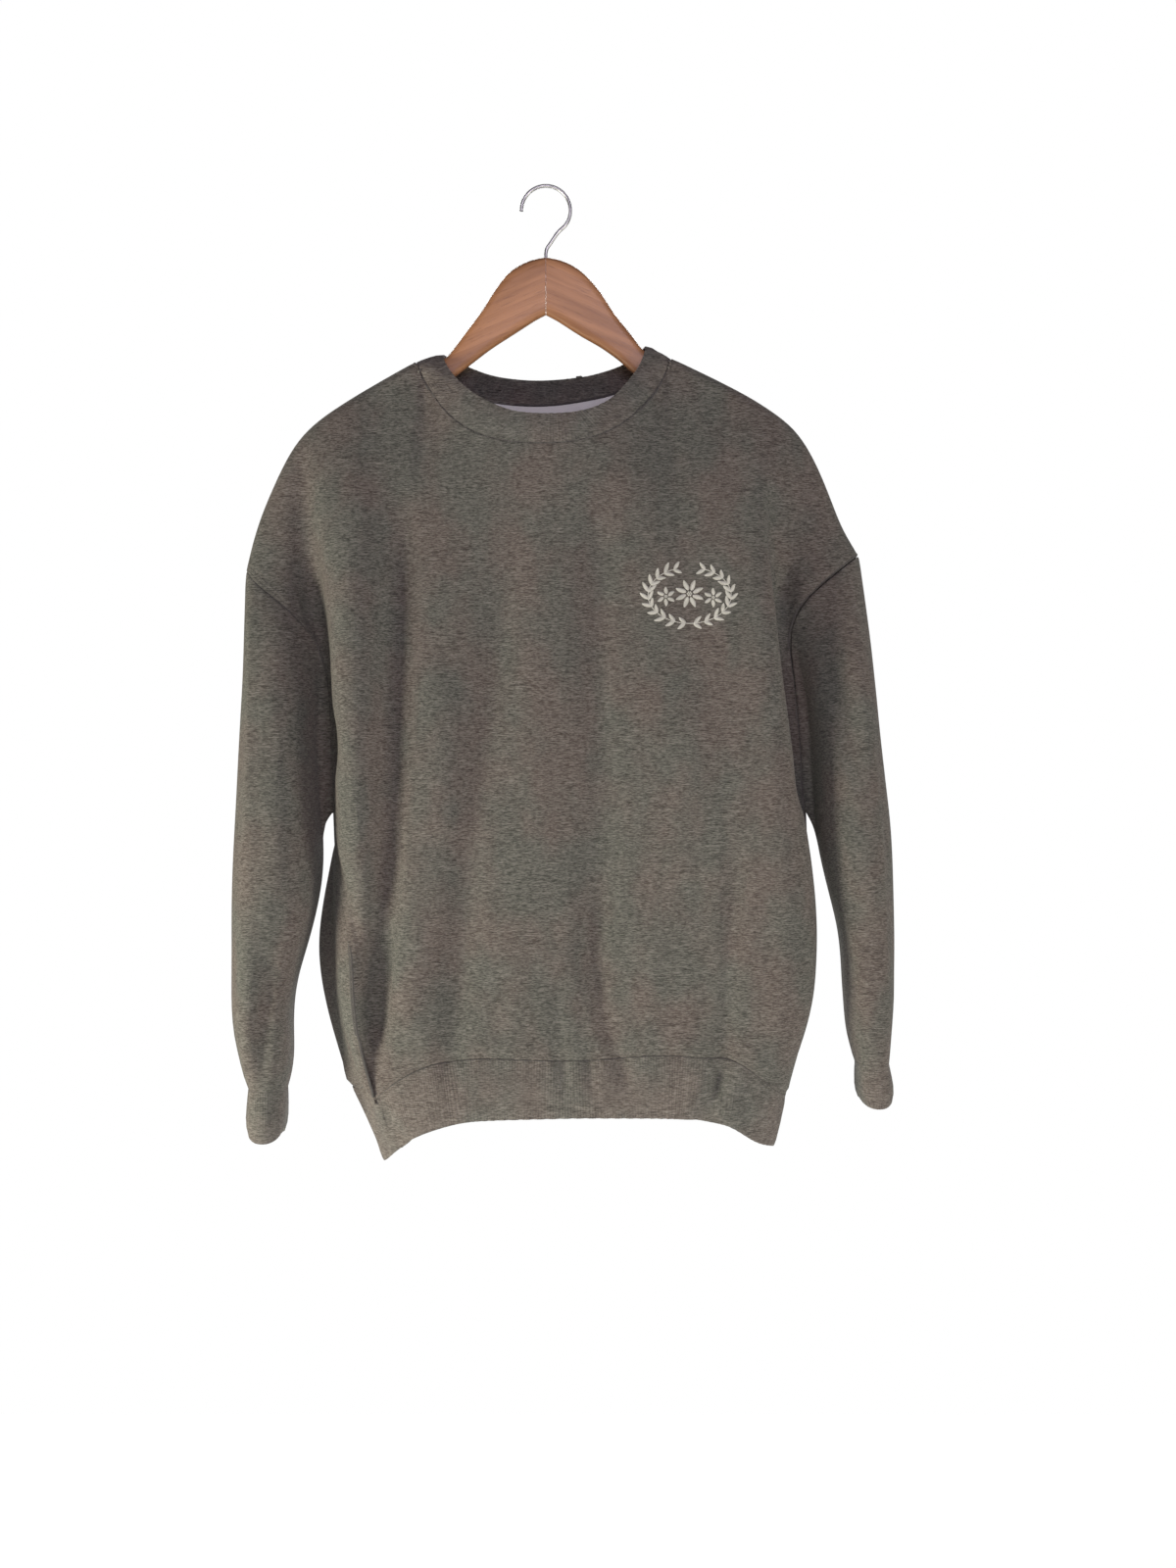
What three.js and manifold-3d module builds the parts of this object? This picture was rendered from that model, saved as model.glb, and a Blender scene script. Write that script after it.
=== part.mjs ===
// A crewneck sweatshirt with dropped shoulders, hanging on a flat wooden hanger.
//
// Millimetres. +Z is up, +X is the wearer's left, and the front faces -Y. The origin is the spot inside
// the steel hook that bears on a rail. Heights are given as a drop below the top of the hanger's wood.
//
// Every cloth piece is a wall around one middle surface. The body's two panels hang from the shoulder
// line and the neckline in columns, the sleeves in rings from the armholes, and neighbours share the
// points of their seam, so a seam is one gap of even width.
import * as THREE from "three";
import Module from "manifold-3d";
import { mergeVertices } from "three/addons/utils/BufferGeometryUtils.js";

const wasm = await Module();
wasm.setup();

const HANGER_DROP = 62; // from the rail down to the top of the wood
const FLEECE = 2.0; // wall of the fleece panels
const RIB = 2.4; // wall of the doubled rib bands
const TAPE = 1.0; // wall of the neck tape
const SEAM_GAP = 0.3;
const SEAT_GAP = 0.6; // from the cloth's inside to the hanger
const WOOD = 12; // thickness of the hanger
const WOOD_EDGE = 4.5; // its rounded edge
const WRAP_DEPTH = 9.4; // half the width of the fold of cloth over the hanger
const WRAP_DROP = 7.0; // height of that fold
const UNDERARM = 500; // drop of the underarm points
const CUFF = {
  right: { length: 47, leanX: -2, leanY: 4, flare: 1.06, mouth: 0.92 },
  left: { length: 40, leanX: 4, leanY: 10, flare: 1.12, mouth: 1 },
};

const lerp = (a, b, t) => a + (b - a) * t;
const clamp = (t) => Math.min(Math.max(t, 0), 1);
const smooth = (t) => clamp(t) ** 2 * (3 - 2 * clamp(t));
const bump = (t) => Math.exp(-2 * t * t);
const heightOf = (drop) => -HANGER_DROP - drop;

// A smooth curve through rows of numbers: the first number of a row is its place, the others its values.
function follow(rows, place) {
  let k = 0;
  while (k < rows.length - 2 && place > rows[k + 1][0]) k += 1;
  const [a, b] = [rows[k], rows[k + 1]];
  const before = rows[k - 1] ?? a;
  const after = rows[k + 2] ?? b;
  const span = b[0] - a[0];
  const t = clamp((place - a[0]) / span);
  return a.slice(1).map((value, n) => {
    const slopeA = (b[n + 1] - before[n + 1]) / (b[0] - before[0]);
    const slopeB = (after[n + 1] - value) / (after[0] - a[0]);
    const [t2, t3] = [t * t, t * t * t];
    return (
      (2 * t3 - 3 * t2 + 1) * value +
      (t3 - 2 * t2 + t) * span * slopeA +
      (3 * t2 - 2 * t3) * b[n + 1] +
      (t3 - t2) * span * slopeB
    );
  });
}

// Rows of a curve measured along its own length, from 0 to 1.
function byLength(points) {
  const along = [0];
  for (let i = 1; i < points.length; i += 1) {
    along.push(along[i - 1] + Math.hypot(...points[i].map((value, n) => value - points[i - 1][n])));
  }
  return points.map((point, i) => [along[i] / along.at(-1), ...point]);
}

// The shoulder lines, from the armhole's top to the neck. Columns: x, y, drop.
const SHOULDER = {
  right: byLength([
    [-265, 0, 278], [-256, 0, 241], [-242, 0, 206], [-225, 0, 171],
    [-211, 0, 153], [-189, 0, 137], [-161, 0, 119], [-115, 0, 93],
  ]),
  left: byLength([
    [277, 0, 265], [262, 0, 241], [249, 0, 206], [233, 0, 171],
    [220, 0, 152], [200, 0, 137], [170, 0, 119], [111, 0, 90],
  ]),
};

// The neckband's seam and its free edge, from the right shoulder to the left one. Columns: x, y, drop.
const NECK = {
  front: byLength([
    [-115, 0, 93], [-106, -10, 113], [-81, -26, 147], [-55, -34, 163], [-26, -38, 169],
    [2, -39, 170], [33, -38, 167], [63, -32, 155], [89, -22, 132], [103, -10, 110], [111, 0, 90],
  ]),
  back: byLength([
    [-115, 0, 93], [-101, 12, 106], [-80, 21, 116], [-52, 28, 123], [-25, 32, 126],
    [3, 34, 126], [33, 32, 122], [60, 26, 117], [84, 19, 108], [99, 11, 98], [111, 0, 90],
  ]),
  frontEdge: byLength([
    [-92, 0, 85], [-87, -10, 99], [-69, -24, 120], [-47, -32, 134], [-26, -35, 142],
    [2, -36, 144], [33, -34, 141], [55, -30, 132], [74, -20, 111], [85, -9, 93], [89, 0, 77],
  ]),
  backEdge: byLength([
    [-92, 0, 85], [-84, 11, 89], [-71, 19, 93], [-48, 26, 100], [-17, 32, 103],
    [13, 33, 102], [44, 30, 98], [72, 20, 90], [82, 11, 84], [89, 0, 77],
  ]),
};

// The lines that the cloth of a panel hangs in, each from its place u across the panel's top edge down
// to the hem's seam. Columns: drop, x, y. A line's first row is its point on the top edge.
const FRONT = [
  { u: 0, rows: [
    [278, -265, 0], [294, -251, -14], [319, -219, -22], [337, -205, -10], [352, -197, -3],
    [398, -191, 0], [450, -190, 2], [UNDERARM, -189, 6], [553, -182, -22], [605, -169, -44],
    [662, -167, -44], [724, -157, -36], [745, -150, -32],
  ] },
  { u: 0.07, rows: [
    [243, -222, -16], [294, -207, -10], [337, -195, -8], [381, -184, -12], [450, -182, -15],
    [500, -182, -14], [553, -174, -38], [605, -160, -47], [662, -157, -46], [735, -140, -38],
  ] },
  { u: 0.14, rows: [
    [209, -206, -22], [262, -194, -32], [313, -188, -34], [348, -186, -36], [399, -187, -38],
    [446, -180, -38], [493, -184, -38], [553, -165, -54], [605, -150, -50], [662, -146, -48],
    [722, -122, -43],
  ] },
  { u: 0.21, rows: [
    [184, -178, -28], [263, -170, -46], [332, -167, -54], [400, -167, -60], [467, -166, -62],
    [553, -150, -60], [605, -134, -54], [662, -128, -50], [712, -100, -46],
  ] },
  { u: 0.3, rows: [
    [130, -113, -13], [184, -120, -28], [294, -126, -44], [398, -130, -54], [500, -130, -57],
    [605, -112, -51], [709, -84, -46],
  ] },
  { u: 0.4, rows: [
    [205, -80, -34], [294, -84, -44], [398, -88, -52], [500, -88, -54], [605, -76, -50],
    [706, -56, -45],
  ] },
  { u: 0.5, rows: [
    [220, 4, -40], [319, 8, -45], [398, 12, -49], [500, 16, -51], [605, 20, -48], [708, 24, -45],
  ] },
  { u: 0.6, rows: [
    [205, 80, -36], [294, 90, -45], [398, 102, -53], [500, 108, -56], [605, 110, -52],
    [703, 100, -46],
  ] },
  { u: 0.7, rows: [
    [130, 113, -13], [184, 124, -28], [294, 134, -43], [398, 146, -54], [500, 156, -58],
    [605, 160, -56], [662, 154, -51], [705, 136, -46],
  ] },
  { u: 0.79, rows: [
    [184, 180, -28], [263, 182, -44], [332, 188, -53], [400, 194, -58], [500, 204, -62],
    [553, 209, -62], [605, 208, -58], [662, 200, -54], [709, 168, -46],
  ] },
  { u: 0.86, rows: [
    [190, 204, -21], [221, 200, -30], [282, 204, -36], [339, 210, -39], [402, 216, -41],
    [464, 222, -43], [503, 226, -43], [545, 231, -41], [606, 235, -36], [663, 231, -34],
    [733, 198, -34],
  ] },
  { u: 0.93, rows: [
    [226, 226, -14], [270, 214, -9], [319, 207, -7], [352, 210, -9], [398, 215, -11],
    [450, 219, -12], [500, 223, -12], [553, 233, -10], [605, 238, -10], [662, 233, -8], [742, 211, -10],
  ] },
  { u: 1, rows: [
    [265, 277, 0], [275, 264, -12], [292, 244, -20], [308, 224, -12], [328, 216, -2],
    [351, 218, 3], [397, 224, 5], [450, 228, 6], [UNDERARM, 231, 8], [553, 234, 12],
    [605, 235, 14], [662, 230, 14], [745, 211, 5],
  ] },
];

// The back panel's lines. Below the underarm its outer lines are the front panel's.
const belowUnderarm = (line) => line.rows.filter(([drop]) => drop >= UNDERARM);
const BACK = [
  { u: 0, rows: [
    [278, -265, 0], [294, -257, 14], [319, -240, 24], [352, -214, 25], [398, -198, 20],
    [450, -191, 14], ...belowUnderarm(FRONT[0]),
  ] },
  { u: 0.07, rows: [
    [243, -232, 16], [294, -216, 22], [337, -204, 22], [398, -194, 21], [450, -188, 19],
    [500, -187, 14], [553, -187, -10], [605, -182, -26], [662, -179, -27], [733, -160, -20],
  ] },
  { u: 0.14, rows: [
    [209, -208, 20], [262, -198, 30], [348, -190, 34], [399, -187, 36], [450, -184, 36],
    [500, -186, 28], [553, -189, 10], [605, -187, -4], [662, -186, -2], [737, -165, -6],
  ] },
  { u: 0.21, rows: [
    [184, -180, 24], [263, -172, 40], [332, -170, 46], [400, -170, 50], [450, -175, 50],
    [500, -186, 46], [553, -198, 38], [605, -206, 28], [643, -203, 25], [696, -188, 20],
    [735, -172, 10],
  ] },
  { u: 0.3, rows: [
    [130, -115, 13], [184, -122, 26], [294, -130, 42], [398, -134, 51], [500, -146, 54],
    [605, -158, 46], [730, -134, 36],
  ] },
  { u: 0.4, rows: [
    [184, -80, 36], [294, -78, 45], [398, -78, 53], [500, -80, 56], [605, -84, 54], [718, -70, 44],
  ] },
  { u: 0.5, rows: [
    [184, 4, 39], [294, 8, 45], [398, 12, 51], [500, 16, 54], [605, 20, 52], [714, 24, 44],
  ] },
  { u: 0.6, rows: [
    [184, 84, 36], [294, 94, 45], [398, 104, 53], [500, 110, 56], [605, 114, 54], [716, 100, 44],
  ] },
  { u: 0.7, rows: [
    [130, 113, 13], [184, 124, 26], [294, 138, 42], [398, 152, 52], [500, 162, 56],
    [605, 164, 54], [720, 146, 42],
  ] },
  { u: 0.79, rows: [
    [184, 180, 24], [263, 186, 40], [332, 192, 47], [400, 198, 51], [500, 205, 53],
    [605, 206, 51], [662, 200, 47], [728, 180, 36],
  ] },
  { u: 0.86, rows: [
    [190, 210, 20], [262, 208, 30], [332, 213, 34], [400, 218, 36], [464, 223, 36],
    [500, 227, 34], [553, 228, 36], [605, 228, 36], [662, 221, 33], [736, 198, 26],
  ] },
  { u: 0.93, rows: [
    [226, 230, 14], [282, 222, 22], [339, 222, 24], [402, 226, 23], [464, 230, 20],
    [500, 231, 16], [553, 234, 24], [605, 235, 26], [662, 229, 24], [742, 208, 16],
  ] },
  { u: 1, rows: [
    [265, 277, 0], [281, 270, 13], [301, 256, 22], [328, 240, 25], [351, 230, 24],
    [397, 228, 19], [450, 230, 15], ...belowUnderarm(FRONT[12]),
  ] },
];

// The band's lower edge under each line. Columns: u, x, y, drop.
const HEM_EDGE = {
  front: [
    [0, -133, -17, 792], [0.07, -124, -28, 784], [0.14, -111, -37, 774], [0.21, -93, -41, 767],
    [0.3, -76, -42, 763], [0.4, -50, -42, 760], [0.5, 24, -42, 758], [0.6, 98, -42, 758],
    [0.7, 132, -42, 760], [0.79, 160, -40, 765], [0.86, 184, -28, 781], [0.93, 200, -9, 787],
    [1, 202, 3, 788],
  ],
  back: [
    [0, -133, -17, 792], [0.07, -141, -5, 800], [0.14, -144, 5, 801], [0.21, -140, 16, 797],
    [0.3, -112, 34, 784], [0.4, -62, 41, 772], [0.5, 24, 42, 767], [0.6, 98, 42, 768],
    [0.7, 140, 40, 772], [0.79, 170, 34, 778], [0.86, 190, 24, 784], [0.93, 199, 14, 788],
    [1, 202, 3, 788],
  ],
};

// Long soft folds, as the way across a panel that each runs down. A depth is inwards and a minus
// sign makes a ridge. Columns of a path: drop, x.
const FOLDS = {
  front: [
    { path: [[200, -130], [400, -134], [545, -143], [740, -150]], from: 190, to: 730, half: 22, depth: 9 },
    { path: [[200, -30], [331, -40], [501, -58], [694, -80]], from: 210, to: 700, half: 20, depth: 5 },
    { path: [[200, 60], [331, 54], [484, 54], [614, 43], [700, 66]], from: 200, to: 712, half: 21, depth: 6 },
    { path: [[480, 128], [614, 139], [700, 132]], from: 470, to: 700, half: 14, depth: 3 },
    { path: [[260, 8], [500, 6], [700, 4]], from: 250, to: 705, half: 16, depth: -3 },
    { path: [[560, 188], [700, 172]], from: 500, to: 720, half: 12, depth: 4 },
  ],
  back: [
    { path: [[200, -96], [450, -110], [720, -112]], from: 190, to: 700, half: 22, depth: 8 },
    { path: [[180, -20], [450, -34], [700, -40]], from: 200, to: 705, half: 18, depth: 5 },
    { path: [[180, 62], [450, 60], [700, 68]], from: 180, to: 705, half: 22, depth: 7 },
    { path: [[260, 128], [450, 138], [700, 120]], from: 240, to: 700, half: 18, depth: 6 },
  ],
};

// The sleeves' sections. Columns: drop, x of the outer edge, x of the inner edge, y of the front, y of
// the back, y of the inner edge. The last row is the cuff's seam.
const SLEEVE = {
  right: [
    [278, -264, -200, -26, 24, 0], [328, -265, -205, -40, 34, 6], [380, -267, -204, -50, 42, 9],
    [432, -270, -204, -56, 46, 9], [500, -273, -201, -60, 48, 8], [545, -275, -199, -60, 48, 2],
    [606, -276, -211, -56, 46, -6], [641, -276, -221, -53, 44, -6], [676, -276, -225, -50, 42, -4],
    [706, -275, -224, -46, 40, -3], [724, -270, -226, -40, 36, -2], [736, -262, -230, -34, 31, -1],
  ],
  left: [
    [265, 277, 218, -24, 22, 0], [328, 285, 226, -38, 32, 8], [380, 290, 232, -48, 40, 12],
    [432, 296, 236, -54, 44, 11], [490, 302, 240, -58, 46, 9], [530, 305, 245, -57, 46, 4],
    [569, 307, 254, -54, 44, -3], [602, 307, 261, -51, 42, -6], [641, 307, 263, -48, 40, -5],
    [676, 306, 266, -45, 38, -3], [700, 305, 269, -40, 34, -2], [713, 303, 275, -33, 30, -1],
  ],
};

// Folds that run down a sleeve. Columns of a path: drop, turn round the sleeve in degrees from the
// outer edge, over the front to the inner edge at 180.
const SLEEVE_FOLDS = {
  right: [
    { path: [[330, 34], [720, 38]], from: 330, to: 725, half: 14, depth: 3 },
    { path: [[560, 120], [720, 96]], from: 570, to: 735, half: 22, depth: 8 },
    { path: [[520, 150], [600, 128]], from: 500, to: 620, half: 16, depth: -4 },
    { path: [[330, 250], [720, 240]], from: 360, to: 730, half: 26, depth: 6 },
  ],
  left: [
    { path: [[380, 46], [560, 50], [700, 62]], from: 340, to: 715, half: 14, depth: -4 },
    { path: [[560, 150], [610, 132]], from: 545, to: 630, half: 18, depth: -5 },
    { path: [[595, 158], [660, 140]], from: 585, to: 690, half: 18, depth: 5 },
    { path: [[330, 240], [720, 250]], from: 360, to: 715, half: 26, depth: 6 },
  ],
};

const SHOULDER_END = 0.3; // u of the neck's corner; the left one mirrors it
const SHOULDER_COLUMNS = 10;
const NECK_COLUMNS = 14;
const NECK_CORNER = [0.012, 0.028, 0.046]; // more columns beside the neck's corner, as shares of it
const ARMHOLE_ROWS = 13;
const BODY_ROWS = 21;
const SLEEVE_ROWS = 15;
const WRAP_ROWS = [0, 0.8, 2.6, 5.2, 9, 13.5]; // the first drops below the top edge, over the hanger
const NECK_OPENS = 0.011; // from the neck's corner to where the neckline has left the hanger

const wrapDepth = (d) => WRAP_DEPTH * Math.sqrt(1 - (1 - clamp(d / WRAP_DROP)) ** 2);

// The neck curve at t from 0 to 1, kept clear of the hanger that it passes over at each end.
function neckPoint(curve, t) {
  const [x, y, drop] = follow(curve, t);
  const start = t < 0.5 ? curve[0] : curve.at(-1);
  const side = curve[5][2] < 0 ? -1 : 1;
  return [x, side * Math.max(Math.abs(y), wrapDepth(drop - start[3])), drop];
}

// The top edge of a panel: a shoulder line, the neckline, and the other shoulder line.
function topEdge(u, neck) {
  if (u < SHOULDER_END) return follow(SHOULDER.right, u / SHOULDER_END);
  if (u > 1 - SHOULDER_END) return follow(SHOULDER.left, (1 - u) / SHOULDER_END);
  return neckPoint(neck, (u - SHOULDER_END) / (1 - 2 * SHOULDER_END));
}

const foldShape = (fold, place, drop) => {
  const ends = smooth((drop - fold.from) / 70) * smooth((fold.to - drop) / 60);
  return fold.depth * ends * bump((place - follow(fold.path, drop)[0]) / fold.half);
};

// A panel as a function of u across it and the drop below the top edge.
function makePanel(lines, neck, folds, side) {
  const paths = lines.map(({ u, rows }) => {
    if (u === 0 || u === 1) return { u, rows };
    const [x, y, drop] = topEdge(u, neck);
    const onShoulder = u <= SHOULDER_END || u >= 1 - SHOULDER_END;
    return { u, rows: [[drop, x, onShoulder ? side * WRAP_DEPTH : y], ...rows] };
  });
  const fractions = (u) => follow(paths.map((path) => [path.u, path.rows.at(-1)[0]]), u)[0];
  return {
    neck,
    hem: fractions,
    top: (u) => topEdge(u, neck)[2],
    point(u, drop) {
      const [topX, topY, topDrop] = topEdge(u, neck);
      const share = (drop - topDrop) / (fractions(u) - topDrop);
      const across = (part) =>
        follow(paths.map(({ u: at, rows }) => {
          const [first, last] = [rows[0][0], rows.at(-1)[0]];
          return [at, ...follow(rows, part < 0 ? first : lerp(first, last, part))];
        }), u);
      const [x, y] = across(share);
      const [x0, y0] = across(0);
      const d = drop - topDrop;
      const near = Math.exp(-d / 60);
      const atEdge = clamp(Math.min(u, 1 - u) / 0.05);
      const wrapped = side * Math.max(Math.abs(topY), WRAP_DEPTH);
      let depth = y + (wrapped - y0) * Math.exp(-d / 25);
      depth += (topY - wrapped) * (1 - wrapDepth(d) / WRAP_DEPTH);
      for (const fold of folds) depth -= side * foldShape(fold, x, drop) * atEdge;
      return [x + (topX - x0) * near, depth, heightOf(drop)];
    },
  };
}

const front = makePanel(FRONT, NECK.front, FOLDS.front, -1);
const back = makePanel(BACK, NECK.back, FOLDS.back, 1);

// Places across a panel: even on each shoulder and along the neckline,
// and closer beside the neck's corners, where the cloth passes over the hanger.
const columns = [];
const neckShares = [0, ...NECK_CORNER];
for (let i = 1; i < NECK_COLUMNS; i += 1) neckShares.push(i / NECK_COLUMNS);
neckShares.push(...NECK_CORNER.map((share) => 1 - share).reverse(), 1);
for (let i = 0; i < SHOULDER_COLUMNS; i += 1) columns.push((i / SHOULDER_COLUMNS) * SHOULDER_END);
for (const share of neckShares) columns.push(lerp(SHOULDER_END, 1 - SHOULDER_END, share));
for (let i = SHOULDER_COLUMNS - 1; i >= 0; i -= 1) {
  columns.push(1 - (i / SHOULDER_COLUMNS) * SHOULDER_END);
}

// How far the first rows are below the top edge: close rows over the hanger, wider ones at the neck.
function firstRow(u, i) {
  const open = clamp((Math.min(u, 1 - u) - SHOULDER_END) / NECK_OPENS);
  return lerp(WRAP_ROWS[i], (i / (WRAP_ROWS.length - 1)) * WRAP_ROWS.at(-1), open);
}

// The drop of row i at place u: the first rows, then even ones to the underarm and the hem.
function rowDrop(panel, u, i) {
  const [top, hem] = [panel.top(u), panel.hem(u)];
  const wrapped = WRAP_ROWS.length - 1;
  if (i <= wrapped) return top + firstRow(u, i);
  const atEdge = Math.exp(-Math.min(u, 1 - u) / 0.12);
  const middle = lerp(lerp(top, hem, ARMHOLE_ROWS / BODY_ROWS), UNDERARM, atEdge);
  if (i <= ARMHOLE_ROWS) {
    return lerp(top + firstRow(u, wrapped), middle, (i - wrapped) / (ARMHOLE_ROWS - wrapped));
  }
  return lerp(middle, hem, (i - ARMHOLE_ROWS) / (BODY_ROWS - ARMHOLE_ROWS));
}

// A grid of points: grid[row][column].
const panelGrid = (panel) =>
  Array.from({ length: BODY_ROWS + 1 }, (_, i) =>
    columns.map((u) => panel.point(u, rowDrop(panel, u, i))),
  );
const frontGrid = panelGrid(front);
const backGrid = panelGrid(back);
for (let i = ARMHOLE_ROWS; i <= BODY_ROWS; i += 1) {
  backGrid[i][0] = frontGrid[i][0];
  backGrid[i][columns.length - 1] = frontGrid[i].at(-1);
}
for (let j = 0; j < columns.length; j += 1) {
  if (columns[j] <= SHOULDER_END || columns[j] >= 1 - SHOULDER_END) backGrid[0][j] = frontGrid[0][j];
}

// An armhole as a loop: from its top down the front to the underarm, and up the back.
function armhole(column) {
  const down = frontGrid.slice(0, ARMHOLE_ROWS + 1).map((row) => row.at(column));
  const up = backGrid.slice(1, ARMHOLE_ROWS).map((row) => row.at(column));
  return [...down, ...up.reverse()];
}

const roundPower = (value, power) => Math.sign(value) * Math.abs(value) ** power;

// A sleeve's grid: row 0 is the armhole, the last row is the cuff's seam.
function sleeveGrid(name, loop) {
  const sections = SLEEVE[name];
  const cuffDrop = sections.at(-1)[0];
  const section = (angle, drop) => {
    const [outer, inner, frontY, backY, innerY] = follow(sections, drop);
    const [c, s] = [Math.cos(angle), Math.sin(angle)];
    const turn = (angle * 180) / Math.PI;
    let inward = 0;
    for (const fold of SLEEVE_FOLDS[name]) inward += foldShape(fold, turn, drop);
    const middleY = (frontY + backY) / 2;
    const halfX = (outer - inner) / 2;
    const halfY = (backY - frontY) / 2;
    return [
      (outer + inner) / 2 + (halfX - Math.sign(halfX) * inward * Math.abs(c)) * roundPower(c, 0.85),
      middleY + (innerY - middleY) * smooth(-c) - (halfY - inward * Math.abs(s)) * roundPower(s, 0.85),
      heightOf(drop),
    ];
  };
  const angleOf = ([x, y, z], j) => {
    const [outer, inner, frontY, backY, innerY] = follow(sections, -HANGER_DROP - z);
    const c = (x - (outer + inner) / 2) / ((outer - inner) / 2);
    const middleY = (frontY + backY) / 2;
    const s = (middleY + (innerY - middleY) * smooth(-c) - y) / ((backY - frontY) / 2);
    const angle = Math.atan2(s, c);
    if (j > ARMHOLE_ROWS) return c > 0 || angle < 0 ? angle + 2 * Math.PI : angle;
    return c < 0 && angle < 0 ? angle + 2 * Math.PI : angle;
  };
  const rows = [loop];
  for (let k = 1; k <= SLEEVE_ROWS; k += 1) {
    const s = (k / SLEEVE_ROWS) ** 1.6;
    rows.push(loop.map((start, j) => {
      const startDrop = -HANGER_DROP - start[2];
      const even = (j / loop.length) * 2 * Math.PI;
      const first = j === 0 ? 0 : angleOf(start, j);
      const angle = lerp(first, even, smooth(s / 0.6));
      const here = section(angle, lerp(startDrop, cuffDrop, s));
      const there = section(first, startDrop);
      const low = smooth((startDrop - 300) / 60);
      const left = Math.exp((-s * (cuffDrop - startDrop)) / lerp(50, 9, low));
      return here.map((value, n) => (n === 2 ? value : value + (start[n] - there[n]) * left));
    }));
  }
  return rows;
}

const sleeves = {
  right: sleeveGrid("right", armhole(0)),
  left: sleeveGrid("left", armhole(-1)),
};

// A cuff hangs from the sleeve's last ring, flares and leans. Its front and back hang lower.
function cuffGrid(name) {
  const top = sleeves[name].at(-1);
  const { length, leanX, leanY, flare, mouth } = CUFF[name];
  const middle = [0, 1].map((n) => top.reduce((sum, p) => sum + p[n], 0) / top.length);
  const shape = [[0, 1, 0], [0.12, 0.98, 0], [0.6, flare, 0.5], [1, mouth, 1]]; // share, size, droop
  return shape.map(([share, size, droop]) =>
    top.map((p, j) => {
      const across = Math.abs(Math.sin((j / top.length) * 2 * Math.PI));
      return [
        middle[0] + (p[0] - middle[0]) * size + leanX * share,
        middle[1] + (p[1] - middle[1]) * size + leanY * share,
        p[2] - length * share * lerp(1, lerp(0.78, 1, across), droop),
      ];
    }),
  );
}

// The hem band: a ring that goes over the front from right to left and back over the back.
function hemGrid() {
  const frontTop = frontGrid.at(-1);
  const backTop = backGrid.at(-1);
  const ring = [];
  columns.forEach((u, j) => ring.push([frontTop[j], follow(HEM_EDGE.front, u), -1]));
  for (let j = columns.length - 2; j > 0; j -= 1) {
    ring.push([backTop[j], follow(HEM_EDGE.back, columns[j]), 1]);
  }
  return [0, 0.1, 0.5, 0.92, 1].map((share) =>
    ring.map(([top, [x, y, drop], side]) => {
      const swell = 2.5 * Math.sin(Math.PI * share);
      return [
        lerp(top[0], x, share),
        lerp(top[1], y, share) + side * swell,
        lerp(top[2], heightOf(drop), share),
      ];
    }),
  );
}

// The neckband: a ring from its seam to its free edge, over the front and back along the back.
function neckbandGrid() {
  const [first, last] = [columns.indexOf(SHOULDER_END), columns.length - 1 - SHOULDER_COLUMNS];
  const ring = [];
  const edge = (name, j) => {
    const [x, y, drop] = neckPoint(NECK[name], (j - first) / (last - first));
    return [x, y, heightOf(drop)];
  };
  for (let j = first; j <= last; j += 1) ring.push([frontGrid[0][j], edge("frontEdge", j), -1]);
  for (let j = last - 1; j > first; j -= 1) ring.push([backGrid[0][j], edge("backEdge", j), 1]);
  return [0, 0.12, 0.55, 1].map((share) =>
    ring.map(([seam, free, side]) => {
      const swell = 1.2 * Math.sin(Math.PI * share);
      return seam.map((value, n) => lerp(value, free[n], share) + (n === 1 ? side * swell : 0));
    }),
  );
}

// The neck tape lies inside the back panel, under the neckband's seam.
function tapeGrid() {
  const across = columns.filter((u) => u > 0.35 && u < 0.65);
  const inwards = FLEECE / 2 + SEAM_GAP + TAPE / 2;
  return WRAP_ROWS.slice(1).map((_, i) =>
    across.map((u) => {
      const drop = back.top(u) + firstRow(u, i + 1);
      const here = new THREE.Vector3(...back.point(u, drop));
      const aside = new THREE.Vector3(...back.point(u + 0.004, drop)).sub(here);
      const below = new THREE.Vector3(...back.point(u, drop + 1.5)).sub(here);
      const outwards = aside.cross(below).normalize();
      return here.addScaledVector(outwards, -inwards).toArray();
    }),
  );
}

// Cloth pieces, each with the way its grid faces: 1 if rows down and columns across turn outwards.
const cloth = [
  { name: "front_panel", grid: frontGrid, wall: FLEECE, ring: false, facing: 1, colour: 0x5c5854 },
  { name: "back_panel", grid: backGrid, wall: FLEECE, ring: false, facing: -1, colour: 0x54504c },
  { name: "sleeve_right", grid: sleeves.right, wall: FLEECE, ring: true, facing: 1, colour: 0x66625c },
  { name: "sleeve_left", grid: sleeves.left, wall: FLEECE, ring: true, facing: -1, colour: 0x625e58 },
  { name: "neckband", grid: neckbandGrid(), wall: RIB, ring: true, facing: -1, colour: 0x4f4b4a },
  { name: "hem_band", grid: hemGrid(), wall: RIB, ring: true, facing: 1, colour: 0x57534d },
  { name: "cuff_right", grid: cuffGrid("right"), wall: RIB, ring: true, facing: 1, colour: 0x57534d },
  { name: "cuff_left", grid: cuffGrid("left"), wall: RIB, ring: true, facing: -1, colour: 0x57534d },
];
const tape = { name: "neck_tape", grid: tapeGrid(), wall: TAPE, ring: false, facing: -1, colour: 0xe6e2d8 };

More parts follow.
